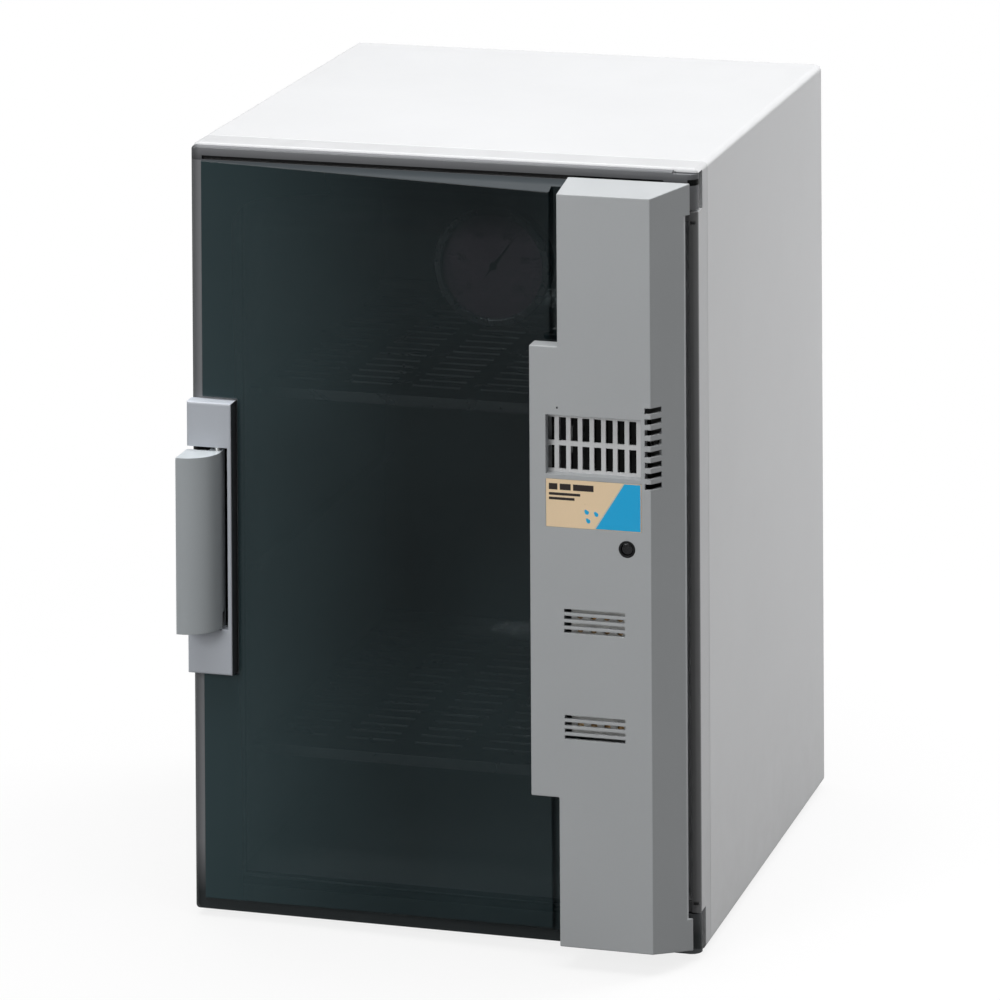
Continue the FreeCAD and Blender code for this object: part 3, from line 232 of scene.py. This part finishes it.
def rim_tone(graph):
    """The door's milky rim and ears, with painted shade: it is dark at the foot, fades at the
    left and top edges, and is nearly black in the groove under the top edge and behind the
    latch plate."""
    foot_start, foot_end = DOOR_FOOT + 11.5 * MM, DOOR_FOOT + 45.5 * MM
    left_end, left_tone = DOOR_LEFT + 5.5 * MM, 0.30
    top_start, top_end, top_tone = DOOR_TOP - 9.5 * MM, DOOR_TOP - 1 * MM, 0.35
    groove_foot, groove_top = DOOR_TOP - 9.3 * MM, DOOR_TOP - 5.5 * MM
    groove_front = BEZEL_FRONT - 0.3 * MM
    latch_foot, latch_top = LATCH_FOOT + 2.5 * MM, LATCH_TOP - 1 * MM
    latch_right = LATCH_RIGHT - 1 * MM
    shadow_tone = 0.03

    across, depth, level = graph.axes()
    # Painted shade: the rim darkens towards the foot, where the bezel behind it is in shade.
    tone = graph.mix(graph.remap(level, foot_start, foot_end), (0.03, 0.036, 0.038),
                     (0.22, 0.225, 0.235))
    # Painted shade along the left edge and across the top band.
    left_edge = graph.remap(across, DOOR_LEFT, left_end, left_tone, 1.0)
    top_edge = graph.remap(level, top_start, top_end, top_tone, 1.0)
    below_top = graph.math("SUBTRACT", 1.0, graph.math("GREATER_THAN", level, top_start))
    painted_shade_falloff = graph.times(left_edge, graph.math("MAXIMUM", top_edge, below_top))
    # Painted shadow in the groove under the top edge and behind the latch plate.
    groove = graph.times(graph.within(level, groove_foot, groove_top),
                         graph.math("GREATER_THAN", depth, groove_front))
    behind_latch = graph.times(graph.within(level, latch_foot, latch_top),
                               graph.math("LESS_THAN", across, latch_right))
    shadow = graph.math("MAXIMUM", groove, behind_latch)
    painted_shade_falloff = graph.times(painted_shade_falloff, graph.remap(shadow, 0.0, 1.0, 1.0, shadow_tone))
    return graph.scaled(tone, painted_shade_falloff)


def panel_tone(graph, raised):
    """The door's deep panel, and the share of it that isn't see-through. The panel is clear
    inside a window, and paler towards the left and the foot, where a reflection is painted."""
    pale_left, pale_right, pale_across = DOOR_LEFT + 9.5 * MM, DOOR_LEFT + 154.5 * MM, 0.55
    pale_high, pale_low, pale_up = DOOR_FOOT + 295.5 * MM, DOOR_FOOT + 25.5 * MM, 0.20
    clear_left, clear_right = DOOR_LEFT + 19.5 * MM, DOOR_LEFT + 49.5 * MM
    clear_high, clear_low = DOOR_TOP - 26.5 * MM, DOOR_TOP - 51.5 * MM
    dense, clear, haze_gain = 0.85, 0.12, 0.20

    across, _, level = graph.axes()
    haze = graph.noise(5.0)
    # Painted reflection: a paler gradient towards the left and the foot.
    painted_reflection = graph.math("ADD", graph.remap(across, pale_left, pale_right, pale_across, 0.0),
                       graph.remap(level, pale_high, pale_low, 0.0, pale_up))
    window = graph.times(graph.times(graph.remap(across, clear_left, clear_right),
                                     graph.remap(level, clear_high, clear_low)), raised)
    share = graph.remap(window, 0.0, 1.0, dense, clear)
    tone = graph.mix(graph.math("ADD", painted_reflection, graph.spread(haze, 0.0, haze_gain)),
                     (0.0, 0.003, 0.004), (0.040, 0.070, 0.077))
    return graph.scaled(tone, graph.math("DIVIDE", dense, share)), share


def smoked_door():
    """Dark see-through acrylic: a paler, milky rim and ears around a deep, glossy panel. Light
    is tinted once, where it enters, so the far side of each wall adds nothing. Shade on the
    rim, a reflection on the panel and light on its upward faces are painted into the colour."""
    panel_front = BEZEL_FRONT - 1 * MM
    up_low, up_high, up_shine = 0.2, 0.4, 0.25
    edge_wear, scratch_depth = 0.15, 0.0008 * MM

    graph = Graph("door_smoked")
    smear = graph.noise(30.0, 4.0, roughness=0.7, distortion=0.8)
    scratch = graph.noise(60.0, 3.0, stretch=(12.0, 12.0, 0.6), roughness=0.7)
    mask, normal = edge_mask(graph, 0.5 * MM)
    facing = graph.add("NewGeometry").outputs
    up_facing_painted_light = graph.remap(graph.axes(facing["Normal"])["Z"], up_low, up_high)
    raised = graph.math("LESS_THAN", graph.axes()["Y"], panel_front)
    panel, share = panel_tone(graph, raised)
    body = graph.mix(raised, rim_tone(graph), panel)
    # Painted light: the raised panel's upward faces get a paler, opaque tone with less gloss.
    body = graph.mix(graph.times(up_facing_painted_light, raised), body, (0.055, 0.064, 0.070))
    share = graph.math("MAXIMUM", share, up_facing_painted_light)
    body = graph.mix(graph.times(mask, edge_wear), body, (0.16, 0.18, 0.19))
    inside = graph.shaders(share, graph.see_through((0.19, 0.20, 0.205)), graph.diffuse(body))
    bump = graph.add("Bump", {"Strength": 1.0, "Distance": scratch_depth, "Height": scratch,
                              "Normal": normal}).outputs[0]
    gloss = graph.add("BsdfGlossy", {"Color": (1, 1, 1, 1), "Normal": bump,
                                     "Roughness": graph.spread(smear, 0.09, 0.18)}).outputs[0]
    fresnel = graph.add("Fresnel", {"IOR": 1.34, "Normal": bump}).outputs[0]
    shine = graph.times(fresnel, graph.remap(up_facing_painted_light, 0.0, 1.0, 1.0, up_shine))
    outer = graph.shaders(shine, inside, gloss)
    return graph.finish(graph.shaders(facing["Backfacing"], outer, graph.see_through((1, 1, 1))))


def clear_cover(name, tint, body, share, ior=1.45, rough=0.05):
    """A thin clear or tinted window with faint smears."""
    dirt_low, dirt_high = 0.3, 0.8
    share_spread, rough_gain = 0.3, 2.5
    graph = Graph(name)
    smear = graph.noise(80.0, 4.0, roughness=0.7, distortion=0.8)
    dirt = graph.noise(400.0)
    amount = graph.remap(dirt, dirt_low, dirt_high, share * (1 - share_spread),
                         share * (1 + share_spread))
    inside = graph.shaders(amount, graph.see_through(tint), graph.diffuse(body))
    gloss = graph.add("BsdfGlossy", {
        "Color": (1, 1, 1, 1),
        "Roughness": graph.spread(smear, rough, rough * rough_gain)}).outputs[0]
    fresnel = graph.add("Fresnel", {"IOR": ior}).outputs[0]
    return graph.finish(graph.shaders(fresnel, inside, gloss))


def laminate():
    """Green circuit board with copper tracks under the lacquer and tinned pads."""
    track_scale, pad_scale, weave_scale = 320.0, 260.0, 2500.0
    track_inner, track_outer, pad_inner, pad_outer = 0.03, 0.06, 0.10, 0.13
    graph = Graph("board_laminate")
    tracks = graph.add("TexVoronoi", {"Vector": graph.place, "Scale": track_scale},
                       feature="DISTANCE_TO_EDGE").outputs["Distance"]
    pads = graph.add("TexVoronoi", {"Vector": graph.place, "Scale": pad_scale},
                     distance="CHEBYCHEV").outputs["Distance"]
    weave = graph.noise(weave_scale)
    green = graph.mix(weave, (0.008, 0.07, 0.028), (0.012, 0.105, 0.04))
    green = graph.mix(graph.remap(tracks, track_inner, track_outer, 0.8, 0.0), green,
                      (0.03, 0.17, 0.07))
    pad = graph.remap(pads, pad_inner, pad_outer, 1.0, 0.0)
    bump = graph.add("Bump", {"Distance": 0.03 * MM, "Height": tracks}).outputs[0]
    shader = graph.add("BsdfPrincipled", {
        "Base Color": graph.mix(pad, green, (0.62, 0.62, 0.6)), "Metallic": pad,
        "Normal": bump, "Roughness": graph.spread(weave, 0.25, 0.4)})
    return graph.finish(shader.outputs[0])


def beads():
    """A packed bed of pale orange gel beads, with painted shade in the gaps between them."""
    bead_scale, gap_start, gap_end = 420.0, 0.3, 0.75
    graph = Graph("desiccant_beads")
    cells = graph.add("TexVoronoi", {"Vector": graph.place, "Scale": bead_scale}).outputs
    tone = graph.add("SeparateColor", {0: cells["Color"]}).outputs[0]
    colour = graph.mix(tone, (0.72, 0.38, 0.12), (0.86, 0.62, 0.34))
    # Painted shade: the gaps between the beads are darkened.
    colour = graph.mix(graph.remap(cells["Distance"], gap_start, gap_end, 0.0, 0.8), colour,
                       (0.10, 0.05, 0.02))
    bump = graph.add("Bump", {"Distance": -1.2 * MM, "Height": cells["Distance"]})
    shader = graph.add("BsdfPrincipled", {
        "Base Color": colour, "Roughness": graph.remap(tone, 0, 1, 0.25, 0.45),
        "Normal": bump.outputs[0]})
    return graph.finish(shader.outputs[0])


LOOKS = {
    "shell_paint": surface("shell_paint", (0.70, 0.705, 0.715), rough=0.42, grain=1100,
                           depth=0.012, mottle=0.012, wear_and_sheen=0.25, worn_and_sheen=(0.9, 0.9, 0.9),
                           dust=0.10, edge=0.8, rough_spread=0.025),
    "rear_steel": surface("rear_steel", (0.62, 0.63, 0.64), rough=0.5, grain=800, depth=0.02,
                          mottle=0.03, wear_and_sheen=0.3, dust=0.12),
    "screw_steel": surface("screw_steel", (0.55, 0.55, 0.54), rough=0.3, metal=1.0, grain=2500,
                           depth=0.01, mottle=0.08, wear_and_sheen=0.5, worn_and_sheen=(0.8, 0.8, 0.78)),
    "foot_rubber": surface("foot_rubber", (0.025, 0.025, 0.026), rough=0.75, grain=1500,
                           depth=0.06, mottle=0.2, wear_and_sheen=0.3, dust=0.6),
    # The bezel's strip and channel in front of the hinge get painted shade.
    "bezel_plastic": surface("bezel_plastic", (0.62, 0.625, 0.635), rough=0.42, grain=1800,
                             depth=0.01, mottle=0.015, wear_and_sheen=0.2, dust=0.10,
                             painted_shade_zone=hinge_pillar, zone_shade=0.25),
    "liner_plastic": surface("liner_plastic", (0.66, 0.67, 0.67), rough=0.38, grain=700,
                             depth=0.03, mottle=0.02, wear_and_sheen=0.15),
    "pin_steel": surface("pin_steel", (0.58, 0.58, 0.57), rough=0.25, metal=1.0, grain=1500,
                         depth=0.006, stretch=(1, 1, 18), mottle=0.08, wear_and_sheen=0.4),
    "seal_rubber": surface("seal_rubber", (0.06, 0.062, 0.065), rough=0.65, grain=1600,
                           depth=0.03, mottle=0.15, wear_and_sheen=0.25),
    "shelf_steel": surface("shelf_steel", (0.50, 0.51, 0.51), rough=0.32, metal=1.0, grain=900,
                           depth=0.008, stretch=(0.06, 1, 1), mottle=0.06, wear_and_sheen=0.4),
    # The latch plate's right-facing sides get painted shade, and its top faces painted light.
    "latch_plastic": surface("latch_plastic", (0.425, 0.45, 0.49), rough=0.42, grain=1700,
                             depth=0.015, mottle=0.02, wear_and_sheen=0.25, painted_shade_zone=right_side,
                             zone_shade=0.08, painted_top_light=1.8),
    # The handle's top faces get painted light.
    "handle_plastic": surface("handle_plastic", (0.355, 0.38, 0.395), rough=0.40, grain=1700,
                              depth=0.015, mottle=0.025, wear_and_sheen=0.35, painted_top_light=2.1),
    "spring_steel": surface("spring_steel", (0.5, 0.5, 0.49), rough=0.28, metal=1.0,
                            grain=3000, depth=0.004, mottle=0.1, wear_and_sheen=0.3),
    # The housing's top faces get painted light, and its paler edges are wear and a painted
    # highlight.
    "housing_plastic": surface("housing_plastic", (0.41, 0.425, 0.435), rough=0.46,
                               grain=1600, depth=0.02, mottle=0.018, wear_and_sheen=0.5,
                               painted_top_light=1.15),
    "chassis_steel": surface("chassis_steel", (0.30, 0.305, 0.31), rough=0.45, metal=1.0,
                             grain=300, depth=0.01, mottle=0.12, wear_and_sheen=0.3),
    "grille_plastic": surface("grille_plastic", (0.62, 0.625, 0.63), rough=0.42, grain=1800,
                              depth=0.012, mottle=0.02, wear_and_sheen=0.3),
    "shutter_plastic": surface("shutter_plastic", (0.004, 0.004, 0.004), rough=0.7,
                               spec=0.08, grain=1800, depth=0.012, mottle=0.1, wear_and_sheen=0.2),
    "label_film": surface("label_film", (0.86, 0.66, 0.43), rough=0.33, grain=2600,
                          depth=0.004, mottle=0.03, wear_and_sheen=0.2),
    "ring_plastic": surface("ring_plastic", (0.006, 0.006, 0.007), rough=0.3, spec=0.3,
                            grain=2200, depth=0.006, mottle=0.1, wear_and_sheen=0.3,
                            worn_and_sheen=(0.06, 0.06, 0.06)),
    "lamp_plastic": surface("lamp_plastic", (0.35, 0.03, 0.02), rough=0.2, grain=2200,
                            depth=0.004, mottle=0.1, wear_and_sheen=0.2),
    "pack_metal": surface("pack_metal", (0.60, 0.60, 0.59), rough=0.4, metal=1.0, grain=500,
                          depth=0.02, mottle=0.1, wear_and_sheen=0.4),
    "heater_ceramic": surface("heater_ceramic", (0.72, 0.70, 0.66), rough=0.6, grain=900,
                              depth=0.03, mottle=0.06, wear_and_sheen=0.1),
    "component_plastic": surface("component_plastic", (0.02, 0.02, 0.022), rough=0.5,
                                 grain=2000, depth=0.015, mottle=0.15, wear_and_sheen=0.3),
    "lead_rubber": surface("lead_rubber", (0.05, 0.05, 0.055), rough=0.5, grain=1500,
                           depth=0.02, mottle=0.15, wear_and_sheen=0.2),
    "cover_plastic": surface("cover_plastic", (0.05, 0.052, 0.055), rough=0.48, grain=1700,
                             depth=0.015, mottle=0.08, wear_and_sheen=0.25),
    # The ring's paler edges are wear and a painted highlight.
    "ring_metal": surface("ring_metal", (0.34, 0.34, 0.35), rough=0.28, metal=1.0,
                          grain=1500, depth=0.006, mottle=0.08, wear_and_sheen=0.6,
                          worn_and_sheen=(0.8, 0.8, 0.8)),
    "case_plastic": surface("case_plastic", (0.03, 0.03, 0.032), rough=0.45, grain=1700,
                            depth=0.015, mottle=0.1, wear_and_sheen=0.25),
    "dial_plastic": surface("dial_plastic", (0.88, 0.58, 0.70), rough=0.5, grain=1400,
                            depth=0.01, mottle=0.06, wear_and_sheen=0.0),
    "movement_brass": surface("movement_brass", (0.66, 0.50, 0.24), rough=0.35, metal=1.0,
                              grain=1500, depth=0.008, stretch=(1, 12, 1), mottle=0.1,
                              wear_and_sheen=0.4),
    "needle_metal": surface("needle_metal", (0.012, 0.012, 0.014), rough=0.35, grain=1500,
                            depth=0.004, mottle=0.1, wear_and_sheen=0.3),
    "door_smoked": smoked_door(),
    "dial_glass": clear_cover("dial_glass", (0.93, 0.93, 0.94), (0.3, 0.3, 0.31), 0.04),
    "lens_plastic": clear_cover("lens_plastic", (0.25, 0.26, 0.27), (0.015, 0.015, 0.017),
                                0.75, ior=1.5, rough=0.08),
    "board_laminate": laminate(),
    "desiccant_beads": beads(),
}

for node in NODES.values():
    look = LOOKS[node.data.materials[0].name.split(".")[0]]
    node.data.materials[0] = look


# ---------------------------------------------------------------- pieces

def piece(name, mesh, look, body):
    thing = bpy.data.objects.new(name, mesh)
    bpy.context.scene.collection.objects.link(thing)
    mesh.materials.clear()
    mesh.materials.append(look)
    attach(thing, body)
    return thing


def mesh_of(work, name):
    """The finished mesh of a bmesh, which is freed."""
    mesh = bpy.data.meshes.new(name)
    work.to_mesh(mesh)
    work.free()
    return mesh


def plates(name, outlines, front, back):
    """Thin closed plates: each outline is a list of (x, z) points, and y runs front to back."""
    work = bmesh.new()
    for outline in outlines:
        near = [work.verts.new((x, front, z)) for x, z in outline]
        far = [work.verts.new((x, back, z)) for x, z in outline]
        work.faces.new(near)
        work.faces.new(list(reversed(far)))
        count = len(outline)
        for i in range(count):
            j = (i + 1) % count
            work.faces.new((near[j], near[i], far[i], far[j]))
    bmesh.ops.recalc_face_normals(work, faces=work.faces[:])
    return mesh_of(work, name)


def drop_outline(x, z):
    """A drop as (x, z) points, with its tip drawn out up and to the left."""
    points, radius, tip_gain, tip_power = 20, 1.35 * MM, 0.75, 6
    lean = math.radians(128)
    outline = []
    for step in range(points):
        turn = 2 * math.pi * step / points
        reach = radius * (1 + tip_gain * max(0.0, math.cos(turn)) ** tip_power)
        outline.append((x + reach * math.cos(turn + lean), z + reach * math.sin(turn + lean)))
    return outline


def label_art():
    """Generic print on the label: a blue corner, a pale line, three drops and plain bars.
    Places on the label are shares of its width from the left and of its height from the top."""
    low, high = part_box("label_plate")
    wide, tall = high.x - low.x, high.z - low.z
    front, back = low.y - 0.04 * MM, low.y + 0.02 * MM
    top, foot, right = 0.012, 0.988, 0.992
    corner_top, corner_foot, line_wide = 0.825, 0.52, 0.013

    def at(u, v):
        return (low.x + wide * u, high.z - tall * v)

    def ink(name, colour, mottle=0.03):
        return surface(name, colour, rough=0.33, grain=2600, depth=0.004, mottle=mottle,
                       wear_and_sheen=0.2)

    blue = ink("label_blue", (0.006, 0.42, 0.78))
    pale = ink("label_pale", (0.62, 0.60, 0.52))
    dark = ink("label_dark", (0.02, 0.012, 0.01), mottle=0.1)
    corner = [at(corner_top, top), at(right, top), at(right, foot), at(corner_foot, foot)]
    line = [at(corner_top - line_wide, top), at(corner_top, top), at(corner_foot, foot),
            at(corner_foot - line_wide, foot)]
    drops = [drop_outline(*at(u, v)) for u, v in ((0.43, 0.66), (0.53, 0.69), (0.445, 0.84))]
    bars = []
    for left, end, high_edge, low_edge in (
            (0.03, 0.12, 0.09, 0.22), (0.145, 0.26, 0.09, 0.22), (0.285, 0.50, 0.09, 0.22),
            (0.03, 0.36, 0.28, 0.335), (0.03, 0.30, 0.375, 0.43)):
        bars.append([at(left, high_edge), at(end, high_edge), at(end, low_edge),
                     at(left, low_edge)])
    for name, outlines, look in (("label_corner", [corner], blue), ("label_line", [line], pale),
                                 ("label_drops", drops, blue), ("label_bars", bars, dark)):
        piece(name, plates(name, outlines, front, back), look, "door")


def dial_art():
    """Graduations from 0 to 100 over 260 degrees, with a number at every second long mark."""
    start, sweep, full = -130.0, 260.0, 100
    gaps, long_every, number_every = 50, 5, 20
    outer_share, long_share, short_share, number_share = 0.88, 0.76, 0.82, 0.61
    long_half, short_half = 0.35 * MM, 0.18 * MM
    print_half, letter_high, weld = 0.05 * MM, 6.2 * MM, 1e-6
    low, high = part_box("hygrometer_dial")
    centre = (low + high) / 2
    radius = (high.x - low.x) / 2
    print_look = surface("dial_print", (0.16, 0.10, 0.12), rough=0.5, grain=2000, depth=0.005,
                         mottle=0.05, wear_and_sheen=0.0)
    outlines = []
    for mark in range(gaps + 1):
        angle = math.radians(start + sweep / gaps * mark)
        long_mark = mark % long_every == 0
        outer = radius * outer_share
        inner = radius * (long_share if long_mark else short_share)
        half = long_half if long_mark else short_half
        along = Vector((math.sin(angle), math.cos(angle)))
        across = Vector((along.y, -along.x))
        outlines.append([(centre.x + p.x, centre.z + p.y) for p in (
            along * inner - across * half, along * outer - across * half,
            along * outer + across * half, along * inner + across * half)])
    piece("dial_marks", plates("dial_marks", outlines, low.y - print_half, low.y + print_half),
          print_look, "door")
    numbers = bmesh.new()
    for number in range(0, full + 1, number_every):
        text = bpy.data.curves.new("number", "FONT")
        text.body = str(number)
        text.size = letter_high
        text.extrude = print_half
        text.align_x, text.align_y = "CENTER", "CENTER"
        holder = bpy.data.objects.new("number", text)
        bpy.context.scene.collection.objects.link(holder)
        bpy.context.view_layer.update()
        flat = bpy.data.meshes.new_from_object(holder)
        angle = math.radians(start + sweep / full * number)
        spot = Vector((centre.x + math.sin(angle) * radius * number_share, low.y,
                       centre.z + math.cos(angle) * radius * number_share))
        flat.transform(Matrix.Translation(spot) @ Matrix.Rotation(math.pi / 2, 4, "X"))
        numbers.from_mesh(flat)
        bpy.data.objects.remove(holder)
        bpy.data.curves.remove(text)
        bpy.data.meshes.remove(flat)
    bmesh.ops.remove_doubles(numbers, verts=numbers.verts[:], dist=weld)
    piece("dial_numbers", mesh_of(numbers, "dial_numbers"), print_look, "door")


def screw_head(work, x, z, seat, spin):
    """One closed pan head with a cross recess, turned by spin. Sizes in mm."""
    sides = 24
    profile = [(3.4, 0.0), (3.4, 0.9), (3.15, 1.5), (2.5, 1.9)]
    arm, half, sunk, taper = 1.7, 0.35, 0.9, 0.8
    crown = profile[-1][1]
    cross = [(half, arm), (-half, arm), (-half, half), (-arm, half), (-arm, -half),
             (-half, -half), (-half, -arm), (half, -arm), (half, -half), (arm, -half),
             (arm, half), (half, half)]
    cosine, sine = math.cos(spin), math.sin(spin)

    def point(u, v, rise):
        return work.verts.new((x + (u * cosine - v * sine) * MM, seat + rise * MM,
                               z + (u * sine + v * cosine) * MM))

    loops = [[point(radius * math.cos(2 * math.pi * i / sides),
                    radius * math.sin(2 * math.pi * i / sides), rise) for i in range(sides)]
             for radius, rise in profile]
    lip = [point(u, v, crown) for u, v in cross]
    floor = [point(u * taper, v * taper, crown - sunk) for u, v in cross]
    for lower, upper in (*zip(loops, loops[1:]), (lip, floor)):
        for i in range(len(lower)):
            j = (i + 1) % len(lower)
            work.faces.new((lower[i], lower[j], upper[j], upper[i]))
    work.faces.new(loops[0])
    work.faces.new(floor)
    rim = [work.edges.get((ring[i], ring[(i + 1) % len(ring)]))
           for ring in (loops[-1], lip) for i in range(len(ring))]
    bmesh.ops.triangle_fill(work, edges=rim, use_beauty=True)


def screw_heads():
    """Pan heads with a cross recess, in place of the plain rear screws: three down each side
    and one in the middle of the top and of the foot."""
    inset, row_step, behind_seat, spin_step = 3.3 * MM, 160 * MM, 2 * MM, math.radians(37.0)
    low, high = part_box("rear_screws")
    left, right = low.x + inset, high.x - inset
    foot, top = low.z + inset, high.z - inset
    middle = (foot + top) / 2
    spots = [(x, middle + step * row_step) for x in (left, right) for step in (-1, 0, 1)]
    spots += [(0.0, foot), (0.0, top)]
    work = bmesh.new()
    for number, (x, z) in enumerate(spots):
        screw_head(work, x, z, high.y - behind_seat, spin_step * number)
    bmesh.ops.recalc_face_normals(work, faces=work.faces[:])
    heads = piece("rear_screw_heads", mesh_of(work, "rear_screw_heads"), LOOKS["screw_steel"],
                  "cabinet")
    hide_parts("rear_screws")


label_art()
dial_art()
screw_heads()


# ---------------------------------------------------------------- stage, light, camera

def floor_look():
    """Pale and drifting to pure white far off, but only to the camera: light from elsewhere
    sees a dimmer floor, so it doesn't flood the dark door and the sides."""
    near_edge, far_edge, near_white = 0.25, 0.9, 0.82
    graph = Graph("studio_floor")
    drift = graph.noise(3.0)
    lit = graph.diffuse(graph.mix(drift, (0.86, 0.86, 0.86), (0.88, 0.88, 0.88)))
    glow = graph.add("Emission", {"Color": (1, 1, 1, 1), "Strength": 1.0}).outputs[0]
    x, y, _ = graph.axes()
    reach = graph.math("SQRT", graph.math("ADD", graph.times(x, x), graph.times(y, y)))
    camera_side = graph.shaders(graph.remap(reach, near_edge, far_edge, near_white, 1.0), lit,
                                glow)
    seen = graph.add("LightPath").outputs["Is Camera Ray"]
    return graph.finish(graph.shaders(seen, graph.diffuse((0.30, 0.30, 0.30)), camera_side))


def studio_floor():
    """A pale floor that curves up far behind the object, 0.3 mm under its feet."""
    flat, bend, steps, wall_top, around, drop = 4.0, 3.0, 10, 7.0, 64, 0.3 * MM
    rings = [(0.5, 0.0), (1.5, 0.0), (2.5, 0.0)]
    for step in range(steps + 1):
        turn = math.pi / 2 * step / steps
        rings.append((flat + bend * math.sin(turn), bend * (1 - math.cos(turn))))
    rings.append((flat + bend, wall_top))
    work = bmesh.new()
    rows = [[work.verts.new((radius * math.cos(2 * math.pi * i / around),
                             radius * math.sin(2 * math.pi * i / around), height - drop))
             for i in range(around)] for radius, height in rings]
    hub = work.verts.new((0, 0, -drop))
    for i in range(around):
        j = (i + 1) % around
        work.faces.new((hub, rows[0][i], rows[0][j]))
        for near, far in zip(rows, rows[1:]):
            work.faces.new((near[i], far[i], far[j], near[j]))
    bmesh.ops.recalc_face_normals(work, faces=work.faces[:])
    mesh = mesh_of(work, "studio_floor")
    for face in mesh.polygons:
        face.use_smooth = True
    mesh.materials.append(floor_look())
    floor = bpy.data.objects.new("studio_floor", mesh)
    bpy.context.scene.collection.objects.link(floor)


def softbox(name, place, target, side, watts):
    """A square light that looks from its place to the target and that the camera can't see."""
    data = bpy.data.lights.new(name, "AREA")
    data.shape = "RECTANGLE"
    data.size = data.size_y = side
    data.energy = watts
    light = bpy.data.objects.new(name, data)
    light.location = place
    aim = Vector(target) - Vector(place)
    light.rotation_euler = aim.to_track_quat("-Z", "Y").to_euler()
    light.visible_camera = False
    bpy.context.scene.collection.objects.link(light)


def lights():
    """Three softboxes, in a world that is white to the camera and dim to all other rays."""
    softbox("overhead", place=(0.0, -0.15, 2.3), target=(0.0, -0.1, 0.5), side=2.4, watts=60.0)
    softbox("right_rear", place=(1.6, 1.6, 1.25), target=(0.0, 0.0, 0.35), side=1.3, watts=36.0)
    softbox("front_left", place=(-0.9, -2.55, 1.2), target=(0.0, -0.2, 0.25), side=1.2,
            watts=33.0)
    dim, full = 0.16, 1.0
    world = bpy.data.worlds.new("studio")
    world.use_nodes = True
    nodes, links = world.node_tree.nodes, world.node_tree.links
    nodes.clear()
    output = nodes.new("ShaderNodeOutputWorld")
    background = nodes.new("ShaderNodeBackground")
    path = nodes.new("ShaderNodeLightPath")
    level = nodes.new("ShaderNodeMapRange")
    level.inputs["To Min"].default_value = dim
    level.inputs["To Max"].default_value = full
    links.new(path.outputs["Is Camera Ray"], level.inputs["Value"])
    links.new(level.outputs["Result"], background.inputs["Strength"])
    links.new(background.outputs[0], output.inputs["Surface"])
    bpy.context.scene.world = world


def shift_here_only(cam, path, shift, place):
    """Sets a lens shift that is there only while the camera stands within a millimetre of its
    place in x, by a stepped curve, so that a view from anywhere else stays centred. Blender
    merges keys closer than 0.01, so the curve runs over ten times the position."""
    times, far, near = 10, 100.0, 0.01
    curve = cam.data.driver_add(path)
    for modifier in list(curve.modifiers):
        curve.modifiers.remove(modifier)
    curve.driver.type = "SUM"
    for _ in range(times):
        target = curve.driver.variables.new().targets[0]
        target.id = cam
        target.data_path = "location[0]"
    middle = place.x * times
    steps = ((middle - far, 0.0), (middle - near, shift), (middle + near, 0.0))
    curve.keyframe_points.add(len(steps))
    for key, step in zip(curve.keyframe_points, steps):
        key.co = step
        key.interpolation = "CONSTANT"
    curve.update()


def camera():
    """The photographed view: a level camera high above, shifted down onto the object."""
    azimuth, elevation, roll = (math.radians(angle) for angle in (16.773, 1.148, -0.352))
    place = Vector((1.04508, -3.84663, 1.28776))
    lens, sensor, shift_x, shift_y = 207.39, 36.0, 0.1545, -1.378
    back = Vector((math.sin(azimuth) * math.cos(elevation),
                   -math.cos(azimuth) * math.cos(elevation), math.sin(elevation)))
    right = (-back).cross(Vector((0, 0, 1))).normalized()
    up = right.cross(-back)
    level_right = right * math.cos(roll) + up * math.sin(roll)
    level_up = up * math.cos(roll) - right * math.sin(roll)
    data = bpy.data.cameras.new("camera")
    data.lens = lens
    data.sensor_width = sensor
    cam = bpy.data.objects.new("camera", data)
    bpy.context.scene.collection.objects.link(cam)
    turn = Matrix((level_right, level_up, back)).transposed()
    cam.matrix_world = Matrix.Translation(place) @ turn.to_4x4()
    bpy.context.scene.camera = cam
    shift_here_only(cam, "shift_x", shift_x, place)
    shift_here_only(cam, "shift_y", shift_y, place)


studio_floor()
lights()
camera()
scene = bpy.context.scene
scene.view_settings.view_transform = "Standard"
scene.cycles.use_denoising = True
